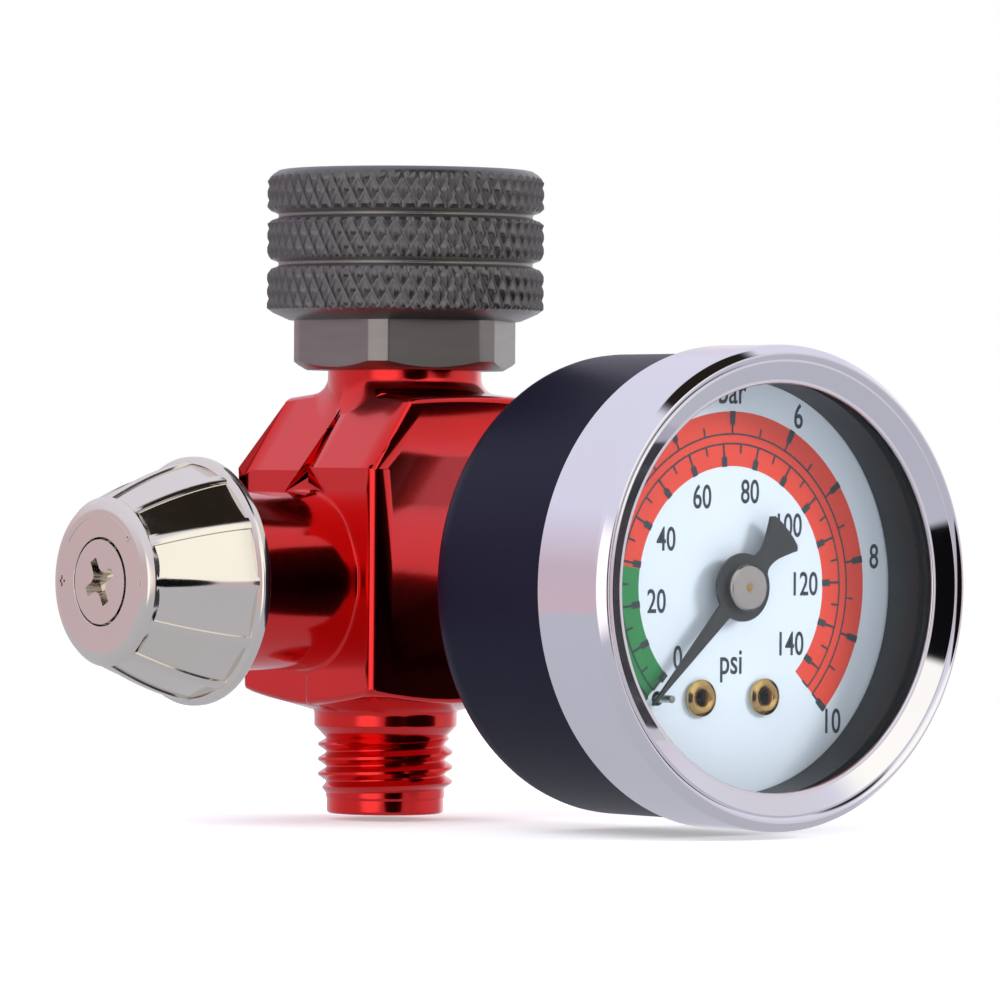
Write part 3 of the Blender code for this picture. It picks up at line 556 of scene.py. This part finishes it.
# %% Turned parts of the body
BOSS_END = 26.0
boss = lathe(rounded([(0, 7.5), (9.2, 7.5), (9.2, 10.08), (BOSS_RADIUS, 10.13, 0.7),
                      (BOSS_RADIUS, BOSS_END, 0.35), (6.35, BOSS_END, 0.2), (6.35, 24.8), (5.5, 24.8),
                      (5.5, 20.0), (0, 20.0)], 6), -X_AXIS, VALVE, 144)
NECK_TOP = 50.3
ROOT = 1.4
ROOT_RADIUS = NECK_RADIUS + ROOT


def block_top(x, y):
    """Height of the block's top or shoulder at a place, in front or behind."""
    inset = REAR_STEP if y > 0 else 0.0
    left = SHOULDER_HEIGHT - 0.4 * inset + (x - BLOCK_LEFT - inset) / SHOULDER_SLOPE
    return min(TOP_APEX - TOP_SLOPE * math.hypot(x - NECK_X, y), left)


sweep = [math.radians(10 * step) for step in range(10)]
flare = [(ROOT_RADIUS - ROOT * math.sin(turn), 41.0 + ROOT * (1 - math.cos(turn))) for turn in sweep]
neck = lathe([(0, 30), (ROOT_RADIUS, 30)] + flare + rounded([
    (NECK_RADIUS, 43.0), (NECK_RADIUS, 45.6), (6.9, 45.6), (6.9, 47.0), (NECK_RADIUS, 47.0),
    (NECK_RADIUS, NECK_TOP, 0.6), (2.5, NECK_TOP, 0.2), (2.5, 32.0), (0, 32.0)], 6), Z_AXIS, NECK, 144)
for vert in neck.verts:
    if 40.9 < vert.co.z < 41.0 + ROOT + 0.01:
        vert.co.z += block_top(vert.co.x, vert.co.y) - 41.0 - 0.02
COLLAR_RADIUS = 6.95
CORE_RADIUS = 5.78
spigot = lathe(rounded([(0, 13.0), (3.5, 12.0), (3.5, 0.0, 0.25), (5.68, 0.0, 0.35), (5.68, 1.4, 0.2),
                        (CORE_RADIUS, 1.7), (CORE_RADIUS, 7.3, 0.3), (COLLAR_RADIUS, 8.55, 0.35),
                        (COLLAR_RADIUS, 10.25, 0.8), (8.9, 10.6, 0.3), (8.9, 13.0), (0, 13.0)], 5),
               Z_AXIS, INLET, 144)

THREAD_PITCH = 1.45
THREAD_CREST = 6.56
THREAD_TURNS = 4.35
THREAD_STEPS = 400
THREAD_START = 1.05


def helix(root, crest, pitch, turns, steps, start, fade):
    """Raised right-hand thread on the Z axis; the tooth's ends sink into the core over the fade height."""
    bm = bmesh.new()
    land = 0.09 * pitch
    tooth = [(root - 0.25, 0.0), (root, 0.02 * pitch), (crest, pitch / 2 - land), (crest, pitch / 2 + land),
             (root, 0.98 * pitch), (root - 0.25, pitch)]
    points = [bm.verts.new((radius, 0, start + height)) for radius, height in tooth]
    face = bm.faces.new(points)
    bmesh.ops.spin(bm, geom=[face], cent=(0, 0, 0), axis=Z_AXIS, dvec=(0, 0, pitch * turns / steps),
                   angle=2 * math.pi * turns, steps=steps, use_duplicate=False)
    top = start + pitch * (turns + 1)
    for vert in bm.verts:
        radius = math.hypot(vert.co.x, vert.co.y)
        share = min(vert.co.z - start, top - vert.co.z) / fade
        share = max(0.0, min(1.0, share - 0.35))
        wanted = (root - 0.25) + (radius - root + 0.25) * share
        vert.co.x *= wanted / radius
        vert.co.y *= wanted / radius
    return tidy(bm, 1e-5)


thread = helix(CORE_RADIUS - 0.03, THREAD_CREST, THREAD_PITCH, THREAD_TURNS, THREAD_STEPS,
               THREAD_START, THREAD_PITCH)
piece("red_body", merged(block, boss, neck, spigot, thread), ANODISED_RED, "regulator",
      ["body"])

# %% [markdown]
# ## Swivel nut
# The nut is turned from round bar, knurled in three bands so that fingers grip it, and milled to a
# hexagon at its foot for a spanner. A diamond knurl is two sets of V grooves that lean opposite ways. The
# bands' rows and the spin's steps are spaced so that both sets of grooves run through mesh points, and
# then each point sinks by its distance from the nearest groove. The hexagon is the same spin with its
# radius pulled in to the flats, which leaves the round lands on its corners.

# %% Nut
NUT_RADIUS = 13.5
KNURL_STARTS = 57
KNURL_CELLS = 12
KNURL_LEAN = math.radians(28.5)
KNURL_DEPTH = 0.42
NUT_STEPS = KNURL_STARTS * KNURL_CELLS
ROW = 2 * math.pi * NUT_RADIUS / NUT_STEPS / math.tan(KNURL_LEAN)
HEX_APOTHEM = 10.0
HEX_LAND = 11.0
HEX_CORNER = math.radians(38.4)
HEX_TOP = 47.9
HEX_CHAMFER = 9.6
NUT_BOTTOM = nut_low.z
NUT_TOP = nut_high.z


def band(low, high):
    """Profile rows of one knurled band on the shared row grid, so that the grooves line up."""
    first = math.ceil(low / ROW)
    last = math.floor(high / ROW)
    return [(NUT_RADIUS, index * ROW) for index in range(first, last + 1)]


outline = [(7.8, NECK_TOP + 0.6), (7.8, 47.3), (8.75, 47.3), (8.75, 45.3), (7.8, 45.3),
           (7.8, NUT_BOTTOM + 0.3), (8.1, NUT_BOTTOM), (HEX_CHAMFER, NUT_BOTTOM)]
outline += [(HEX_LAND, height) for height in (NUT_BOTTOM + 0.25, NUT_BOTTOM + 0.9, HEX_TOP - 1.2,
                                              HEX_TOP - 0.15, HEX_TOP)]
outline += [(11.3, HEX_TOP + 0.05), (12.9, HEX_TOP + 0.75), (13.3, HEX_TOP + 1.05)]
outline += band(49.1, 52.72)
outline += [(13.1, 52.95), (12.5, 53.16), (12.40, 53.28), (12.40, 53.50), (12.5, 53.64), (13.1, 53.85)]
outline += band(54.05, 57.42)
outline += [(13.1, 57.65), (12.5, 57.86), (12.40, 57.98), (12.40, 58.20), (12.5, 58.34), (13.1, 58.55)]
outline += band(58.75, 61.6)
outline += [(13.2, 61.9), (12.9, 62.2), (12.4, 62.52), (12.0, NUT_TOP), (7.1, NUT_TOP), (6.5, NUT_TOP - 0.45),
            (6.0, NUT_TOP - 1.0), (6.0, NECK_TOP + 0.9)]
nut = lathe(outline, Z_AXIS, NECK, NUT_STEPS, ring=True)


def knurl(vert, angle, height):
    """How far a point on a band sinks: the two groove sets are counted in cells along the circle."""
    cell = angle / (2 * math.pi) * NUT_STEPS
    rise = height / ROW
    sink = []
    for lean, share in ((1, 1.0), (-1, 0.8)):
        phase = ((cell + lean * rise) / KNURL_CELLS) % 1.0
        from_groove = abs(phase - 0.5) * 2
        sink.append(share * max(0.0, 1 - (1 - from_groove) / 0.82))
    return KNURL_DEPTH * max(sink)


for vert in nut.verts:
    dx = vert.co.x - NECK_X
    radius = math.hypot(dx, vert.co.y)
    angle = math.atan2(vert.co.y, dx)
    height = vert.co.z
    wanted = radius
    if radius > NUT_RADIUS - 0.01:
        wanted = radius - knurl(vert, angle, height)
    elif radius > 10.9 and height < HEX_TOP + 0.02:
        from_flat = (angle - HEX_CORNER) % (math.pi / 3) - math.pi / 6
        wanted = min(HEX_APOTHEM / math.cos(from_flat), HEX_LAND)
        if height < NUT_BOTTOM + 0.5:
            vert.co.z = NUT_BOTTOM + 0.58 * (wanted - HEX_CHAMFER)
    vert.co.x = NECK_X + dx * wanted / radius
    vert.co.y *= wanted / radius
knurled_nut = piece("knurled_nut", nut, GUNMETAL, "swivel_nut", ["swivel_nut"], sharp=40.0)
knurled_nut.data.materials.append(MILLED_GUNMETAL)
for face in knurled_nut.data.polygons:
    high = face.center.z / MM
    reach = math.hypot(face.center.x / MM - NECK_X, face.center.y / MM)
    in_groove = min(abs(high - 53.4), abs(high - 58.1)) < 0.5
    if reach > 9.5 and (high < HEX_TOP + 1.0 or in_groove):
        face.material_index = 1

# %% [markdown]
# ## Adjusting knob
# The knob is a zinc casting with twelve sides. Each side has a shallow panel, and the ribs left between
# the panels run from the front land to the thin rim. It starts as a twelve-step spin. Its corners are
# rounded into the ribs, and then each column of side faces is inset inwards as one region.

# %% Knob
KNOB_SIDES = 12
KNOB_RIM = -knob_high.x
KNOB_FRONT = -knob_low.x


def side_profile():
    """Corner radius of the knob against its distance from the inlet axis: a gently bulging cone."""
    points = []
    steps = 10
    for step in range(steps + 1):
        t = step / steps
        points.append((11.55 - 1.1 * t - 2.35 * t ** 1.7, KNOB_RIM + 0.75 + 9.75 * t))
    return points


shell_outline = side_profile() + [(7.45, 34.02), (4.6, 34.05), (4.6, 30.6), (3.0, 30.6), (3.0, 29.5),
                                  (8.4, 29.5), (8.4, 28.4), (9.95, 27.6), (9.95, KNOB_RIM + 0.3),
                                  (11.4, KNOB_RIM + 0.3)]
shell = lathe(shell_outline, -X_AXIS, VALVE, KNOB_SIDES, ring=True)


def outside(face):
    middle = face.calc_center_median()
    away = Vector((0, middle.y, middle.z - AXIS_Z))
    start = -middle.x
    return face.normal.dot(away) > 0.5 * away.length and KNOB_RIM + 0.8 < start < 33.4 and away.length > 7.5


def corner_line(edge):
    """An edge between two columns of side faces."""
    along = edge.verts[0].co - edge.verts[1].co
    return len(edge.link_faces) == 2 and all(outside(f) for f in edge.link_faces) \
        and abs(along.x) > 0.8 * along.length


corner_edges = [edge for edge in shell.edges if corner_line(edge)]
bmesh.ops.bevel(shell, geom=corner_edges, offset=0.50, affect="EDGES", segments=4, profile=0.5, material=-1)
columns = {}
for face in shell.faces:
    if outside(face) and face.calc_area() > 1.0:
        middle = face.calc_center_median()
        turn = math.degrees(math.atan2(middle.z - AXIS_Z, middle.y)) % 360
        columns.setdefault(int(turn // 30), []).append(face)
for faces in columns.values():
    bmesh.ops.inset_region(shell, faces=faces, thickness=0.08, depth=0.0, use_even_offset=True,
                           use_boundary=True)
    bmesh.ops.inset_region(shell, faces=faces, thickness=0.07, depth=-0.22, use_even_offset=True,
                           use_boundary=True)
print("knob panels:", len(columns))
tidy(shell, 1e-5)
rim = lathe(rounded([(9.95, KNOB_RIM), (11.87, KNOB_RIM, 0.25), (11.87, KNOB_RIM + 0.9, 0.35),
                     (11.2, KNOB_RIM + 1.15), (9.95, KNOB_RIM + 1.15)], 4) + [Vector((9.95, KNOB_RIM))],
            -X_AXIS, VALVE, 144)
land_outline = rounded([(4.2, 31.0), (4.2, 34.2, 0.12), (6.8, 34.3, 0.8), (7.6, 34.0, 0.6), (8.02, 33.5),
                        (7.4, 31.0)], 4)
land = lathe(land_outline, -X_AXIS, VALVE, 128, ring=True)


def on_front(radius, degrees, distance):
    """Point on the knob's front; 0 degrees is towards the gauge and 90 is up."""
    turn = math.radians(degrees)
    return Vector((-distance, -radius * math.cos(turn), AXIS_Z + radius * math.sin(turn)))


def mark(radius, from_degrees, to_degrees, width):
    """Thin raised line on the knob's front that follows a circle."""
    bm = bmesh.new()
    low = KNOB_FRONT - 0.08
    high = KNOB_FRONT + 0.05
    corners = [on_front(radius + sign * width / 2, from_degrees, level)
               for sign, level in ((-1, low), (1, low), (1, high), (-1, high))]
    face = bm.faces.new([bm.verts.new(corner) for corner in corners])
    steps = max(1, int(abs(to_degrees - from_degrees) / 4))
    bmesh.ops.spin(bm, geom=[face], cent=VALVE, axis=X_AXIS, dvec=(0, 0, 0),
                   angle=-math.radians(to_degrees - from_degrees), steps=steps, use_duplicate=False)
    return tidy(bm)


marks = [mark(6.3, 42, 143, 0.20), mark(6.3, 40, 43, 0.8), mark(6.2, -2.0, 2.0, 1.2),
         mark(6.2, 175, 185, 0.22), mark(6.2, 178.8, 181.2, 1.0)]
piece("panelled_knob", merged(shell, rim, land, *marks), NICKEL, "knob",
      ["adjusting_knob"], sharp=18.0)

# %% [markdown]
# ## Knob screw
# One countersunk cross-recess screw holds the knob. The head's flat face is a filled area between the
# rim circle and the cross outline, and the cross is drawn down and narrowed to make the recess.

# %% Screw
HEAD_RADIUS = 4.0
HEAD_LEVEL = KNOB_FRONT - 0.06
cross = bmesh.new()
bmesh.ops.create_circle(cross, segments=96, radius=HEAD_RADIUS)
rim_edges = cross.edges[:]
arm = 2.3
wide = 0.74
narrow = 0.50
neckline = [(arm, -narrow), (arm, narrow), (1.15, 0.52), (wide, wide), (0.52, 1.15)]
points = []
for quarter in range(4):
    turn = Matrix.Rotation(math.radians(90 * quarter + 26), 2)
    points += [turn @ Vector(point) for point in neckline]
cross_verts = [cross.verts.new((point.x, point.y, 0)) for point in points]
cross_edges = [cross.edges.new((cross_verts[i - 1], cross_verts[i])) for i in range(len(cross_verts))]
bmesh.ops.triangle_fill(cross, edges=rim_edges + cross_edges, use_beauty=True)
grown = bmesh.ops.extrude_edge_only(cross, edges=cross_edges)["geom"]
deep = [item for item in grown if isinstance(item, bmesh.types.BMVert)]
bmesh.ops.scale(cross, verts=deep, vec=(0.80, 0.80, 1))
bmesh.ops.translate(cross, verts=deep, vec=(0, 0, -1.5))
bmesh.ops.contextual_create(cross, geom=deep)
grown = bmesh.ops.extrude_edge_only(cross, edges=rim_edges)["geom"]
skirt = [item for item in grown if isinstance(item, bmesh.types.BMVert)]
bmesh.ops.scale(cross, verts=skirt, vec=(0.42, 0.42, 1))
bmesh.ops.translate(cross, verts=skirt, vec=(0, 0, -2.1))
skirt_edges = [item for item in grown if isinstance(item, bmesh.types.BMEdge)]
shank = bmesh.ops.extrude_edge_only(cross, edges=skirt_edges)["geom"]
shank_verts = [item for item in shank if isinstance(item, bmesh.types.BMVert)]
bmesh.ops.translate(cross, verts=shank_verts, vec=(0, 0, -5.2))
bmesh.ops.contextual_create(cross, geom=shank_verts)
facing = Matrix(((0, 0, -1), (-1, 0, 0), (0, 1, 0)))
bmesh.ops.transform(cross, matrix=facing.to_4x4(), verts=cross.verts)
bmesh.ops.translate(cross, verts=cross.verts, vec=(-HEAD_LEVEL, 0, AXIS_Z))
tidy(cross)
piece("cross_recess_screw", cross, NICKEL, "knob", ["knob_screw"], sharp=35.0)

# %% [markdown]
# ## Gauge housing
# The case is a deep-drawn cup with a rounded back edge. A chromed ring is pressed over its front: a
# straight band, a rolled front edge, a fine line, and a face that slopes in to the window.

# %% Ring, case, window and inner wall
bezel_outline = rounded([(22.15, 9.3), (22.40, 9.3), (22.58, 9.15), (22.58, 0.95, 0.9), (21.75, 0.0, 0.55),
                         (21.35, 0.28), (21.20, 0.42), (21.0, 0.36, 0.1), (19.35, 1.30, 0.1),
                         (19.05, 1.30, 0.15), (18.95, 1.52, 0.1), (19.2, 1.62), (22.15, 1.62)], 6)
bezel = lathe(bezel_outline, Y_AXIS, GAUGE, 192, ring=True)
piece("chromed_ring", bezel, CHROME, "regulator", ["gauge_bezel"])

CASE_BACK = 26.6
case_outline = rounded([(5.5, CASE_BACK - 0.8), (5.5, CASE_BACK, 0.3), (21.85, CASE_BACK, 3.0), (21.85, 4.7),
                        (21.05, 4.7), (21.05, CASE_BACK - 0.8, 2.2), (5.5, CASE_BACK - 0.8)], 8)
case = lathe(case_outline, Y_AXIS, GAUGE, 160)
piece("enamelled_case", case, ENAMEL, "regulator", ["gauge_case"])

window = lathe(rounded([(0, 1.7), (21.7, 1.7, 0.1), (21.7, 3.4, 0.1), (0, 3.4)]), Y_AXIS, GAUGE, 128)
piece("window_disc", window, WINDOW, "regulator", ["gauge_lens"])

wall = lathe([(19.4, 3.7), (20.1, 3.7), (20.1, 8.0), (19.4, 8.0)], Y_AXIS, GAUGE, 160, ring=True)
piece("inner_wall", wall, BLACK_PLASTIC, "regulator", ["dial_spacer"])

# %% [markdown]
# ## Dial print
# The dial is screen printed in four passes: red, green and black ink on white. Each pass is a very thin
# solid laid on the plate, so the print is real geometry. The outer scale runs from 0 to 10 bar over 270
# degrees, the inner one from 0 to 140 psi, and one bar is 14.5 psi.

# %% Ink helpers
DIAL_LEVEL = GAUGE_FRONT + 8.3
INK = 0.012
ZERO = 225.0
PER_BAR = 27.0
PER_PSI = PER_BAR / 14.5038


def on_dial(radius, degrees, level):
    turn = math.radians(degrees)
    return Vector((GAUGE_X + radius * math.cos(turn), level, AXIS_Z + radius * math.sin(turn)))


def arc_band(inner, outer, from_degrees, to_degrees, layer):
    """Printed band between two radii and two angles; each layer lies on the one below."""
    bm = bmesh.new()
    near = DIAL_LEVEL - INK * (layer + 1)
    far = DIAL_LEVEL - INK * layer + 0.004
    corners = [on_dial(inner, from_degrees, far), on_dial(outer, from_degrees, far),
               on_dial(outer, from_degrees, near), on_dial(inner, from_degrees, near)]
    face = bm.faces.new([bm.verts.new(corner) for corner in corners])
    sweep = from_degrees - to_degrees
    bmesh.ops.spin(bm, geom=[face], cent=GAUGE, axis=Y_AXIS, dvec=(0, 0, 0), angle=math.radians(sweep),
                   steps=max(1, round(abs(sweep) / 2)), use_duplicate=False)
    return tidy(bm)


def tick(inner, outer, degrees, width, layer=2):
    """Radial printed line of a constant width in millimetres."""
    half = math.degrees(width / 2 / ((inner + outer) / 2))
    return arc_band(inner, outer, degrees + half, degrees - half, layer)


# %% Coloured bands, circles and ticks
BAND_INNER = 11.3
BAND_OUTER = 16.4
piece("green_band", arc_band(BAND_INNER, BAND_OUTER, ZERO, ZERO - 2 * PER_BAR, 0), GREEN_INK,
      "regulator")
piece("red_band", arc_band(BAND_INNER, BAND_OUTER, ZERO - 2 * PER_BAR, ZERO - 10 * PER_BAR, 0),
      RED_INK, "regulator")
BAR_CIRCLE = 14.3
PSI_CIRCLE = 13.4
lines = [arc_band(BAR_CIRCLE - 0.09, BAR_CIRCLE + 0.09, ZERO, ZERO - 10 * PER_BAR, 1),
         arc_band(PSI_CIRCLE - 0.09, PSI_CIRCLE + 0.09, ZERO, ZERO - 145 * PER_PSI, 1)]
for half_bar in range(21):
    angle = ZERO - half_bar * PER_BAR / 2
    if half_bar % 2:
        lines.append(tick(BAR_CIRCLE, 15.2, angle, 0.20))
    else:
        lines.append(tick(BAR_CIRCLE, 16.4, angle, 0.22))
        lines.append(tick(15.15, 16.45, angle, 0.64, 3))
for five_psi in range(30):
    angle = ZERO - 5 * five_psi * PER_PSI
    if five_psi % 2:
        lines.append(tick(12.5, PSI_CIRCLE, angle, 0.20))
    else:
        lines.append(tick(11.3, PSI_CIRCLE, angle, 0.22))
        lines.append(tick(11.25, 12.2, angle, 0.64, 3))
piece("scale_lines", merged(*lines), BLACK_INK, "regulator")

# %% [markdown]
# The figures are upright and narrow. A text object makes them, it is turned into a mesh, and the mesh is
# set on the dial facing the reader. Only the scale figures and the two unit names are printed.

# %% Figures
def figures(words, height, condense=0.74):
    """All the figures of one scale as one bmesh; words is a list of (text, radius, degrees)."""
    whole = bmesh.new()
    for text, radius, degrees in words:
        curve = bpy.data.curves.new("figure", "FONT")
        curve.body = text
        curve.size = height / 0.685
        curve.align_x = "CENTER"
        curve.align_y = "CENTER"
        curve.extrude = INK
        curve.resolution_u = 4
        curve.offset = 0.035
        holder = bpy.data.objects.new("figure", curve)
        bpy.context.scene.collection.objects.link(holder)
        graph = bpy.context.evaluated_depsgraph_get()
        mesh = bpy.data.meshes.new_from_object(holder.evaluated_get(graph))
        bpy.data.objects.remove(holder, do_unlink=True)
        glyphs = bmesh.new()
        glyphs.from_mesh(mesh)
        bpy.data.meshes.remove(mesh)
        bmesh.ops.scale(glyphs, verts=glyphs.verts, vec=(condense, 1, 1))
        lows = [min(v.co[i] for v in glyphs.verts) for i in (0, 1)]
        highs = [max(v.co[i] for v in glyphs.verts) for i in (0, 1)]
        shift = Vector((-(lows[0] + highs[0]) / 2, -(lows[1] + highs[1]) / 2, 0))
        bmesh.ops.translate(glyphs, verts=glyphs.verts, vec=shift)
        bmesh.ops.rotate(glyphs, verts=glyphs.verts, matrix=Matrix.Rotation(math.pi / 2, 3, "X"))
        bmesh.ops.translate(glyphs, verts=glyphs.verts, vec=on_dial(radius, degrees, DIAL_LEVEL - INK))
        whole = merged(whole, glyphs)
    bmesh.ops.remove_doubles(whole, verts=whole.verts, dist=1e-5)
    return whole


bar_words = [(str(2 * step), 18.0, ZERO - 2 * step * PER_BAR) for step in range(1, 6)]
psi_words = [(str(20 * step), 9.2, ZERO - 20 * step * PER_PSI) for step in range(8)]
piece("bar_figures", figures(bar_words, 2.25), BLACK_INK, "regulator")
piece("psi_figures", figures(psi_words, 2.15), BLACK_INK, "regulator")
unit_words = [("bar", 18.3, 90.0), ("psi", 7.4, 270.0)]
piece("unit_names", figures(unit_words, 2.3, 0.78), BLACK_INK, "regulator")

# %% [markdown]
# ## Pointer and small hardware
# The pointer is blanked from sheet: a straight tapering blade, a round boss, and a flared tail that
# balances it. Its outline's mirror half is made by the same list read backwards. A brushed cap covers the
# boss, two brass eyelets hold the dial, and a pin stops the pointer at zero.

# %% Pointer
BLADE_NEAR = GAUGE_FRONT + 6.5
BLADE_FAR = GAUGE_FRONT + 6.85


def smooth_line(points, steps=6):
    """Catmull-Rom curve through the points."""
    line = []
    for index in range(1, len(points) - 2):
        p0, p1, p2, p3 = [Vector(points[index + offset]) for offset in (-1, 0, 1, 2)]
        for step in range(steps):
            t = step / steps
            line.append(0.5 * (2 * p1 + (p2 - p0) * t + (2 * p0 - 5 * p1 + 4 * p2 - p3) * t ** 2
                               + (3 * p1 - p0 - 3 * p2 + p3) * t ** 3))
    line.append(Vector(points[-2]))
    return line


hub_arc = [(3.2 * math.cos(math.radians(a)), 3.2 * math.sin(math.radians(a))) for a in range(15, 160, 8)]
tail_curve = smooth_line([(-2.4, 2.1), (-2.95, 1.25), (-3.6, 0.95), (-4.7, 1.10), (-6.0, 1.72),
                          (-7.05, 2.32), (-7.5, 2.9)], 4)
tail_end = [(-7.45, 1.95), (-7.6, 1.1)]
upper = [(15.3, 0.10)] + hub_arc + [tuple(p) for p in tail_curve] + tail_end
lower = [(along, -across) for along, across in reversed(upper)]
blade = bmesh.new()
blade_turn = Matrix.Rotation(math.radians(ZERO), 2)
corners = []
for point in upper + [(-7.65, 0.0)] + lower:
    along, up = blade_turn @ Vector(point)
    corners.append(blade.verts.new((GAUGE_X + along, BLADE_NEAR, AXIS_Z + up)))
face = blade.faces.new(corners)
grown = bmesh.ops.extrude_face_region(blade, geom=[face])["geom"]
moved = [item for item in grown if isinstance(item, bmesh.types.BMVert)]
bmesh.ops.translate(blade, verts=moved, vec=Y_AXIS * (BLADE_FAR - BLADE_NEAR))
tidy(blade)
bevelled(blade, 0.05, 2, 50.0)
hub_outline = rounded([(0, 6.9), (1.9, 6.9), (1.9, 7.7, 0.1), (0.8, 7.7), (0.8, 7.0), (0, 7.0)])
hub = lathe(hub_outline, Y_AXIS, GAUGE, 48)
piece("pointer_blade", merged(blade, hub), POINTER_BLACK, "pointer", ["pointer"])

cap = lathe(rounded([(0, 5.66), (0.42, 5.66, 0.04), (0.46, 5.61, 0.02), (2.0, 5.64, 0.1), (2.2, 5.82, 0.1),
                     (2.2, 6.42, 0.05), (0, 6.42)], 4), Y_AXIS, GAUGE, 96)
piece("brushed_boss_cap", cap, BRUSHED, "pointer", ["pointer_cap"])
dot = lathe(rounded([(0, 5.60), (0.36, 5.62, 0.05), (0.38, 5.9), (0, 5.9)], 3), Y_AXIS, GAUGE, 32)
piece("arbor_end", dot, TURNED_BRASS, "pointer")

# %% Eyelets and stop pin
eyelet_outline = rounded([(0.62, 9.7), (0.62, 8.3), (0.80, 7.72, 0.25), (1.25, 7.55, 0.3),
                          (1.75, 7.80, 0.2), (1.75, 8.0, 0.05), (0.95, 8.0), (0.95, 9.7)], 5)
for side in ("left", "right"):
    node = "dial_rivet_" + side
    x, _, z = middle_mm(node)
    eyelet = lathe(eyelet_outline, Y_AXIS, (x, GAUGE_FRONT, z), 48, ring=True)
    piece("eyelet_" + side, eyelet, BRASS, "regulator", [node])
pin_x, _, pin_z = middle_mm("stop_pin")
pin_outline = rounded([(0, 6.1), (0.36, 6.1, 0.15), (0.36, 9.6), (0, 9.6)], 4)
pin = lathe(pin_outline, Y_AXIS, (pin_x, GAUGE_FRONT, pin_z), 32)
piece("zero_stop_pin", pin, STEEL, "regulator", ["stop_pin"])

# %% [markdown]
# ## Finish
# The visible model should fill the same box as the working model, so its size is printed.

# %% Write the sizes and finish
low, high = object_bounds()
print("visible model in mm:", [round(1000 * (b - a), 1) for a, b in zip(low, high)])
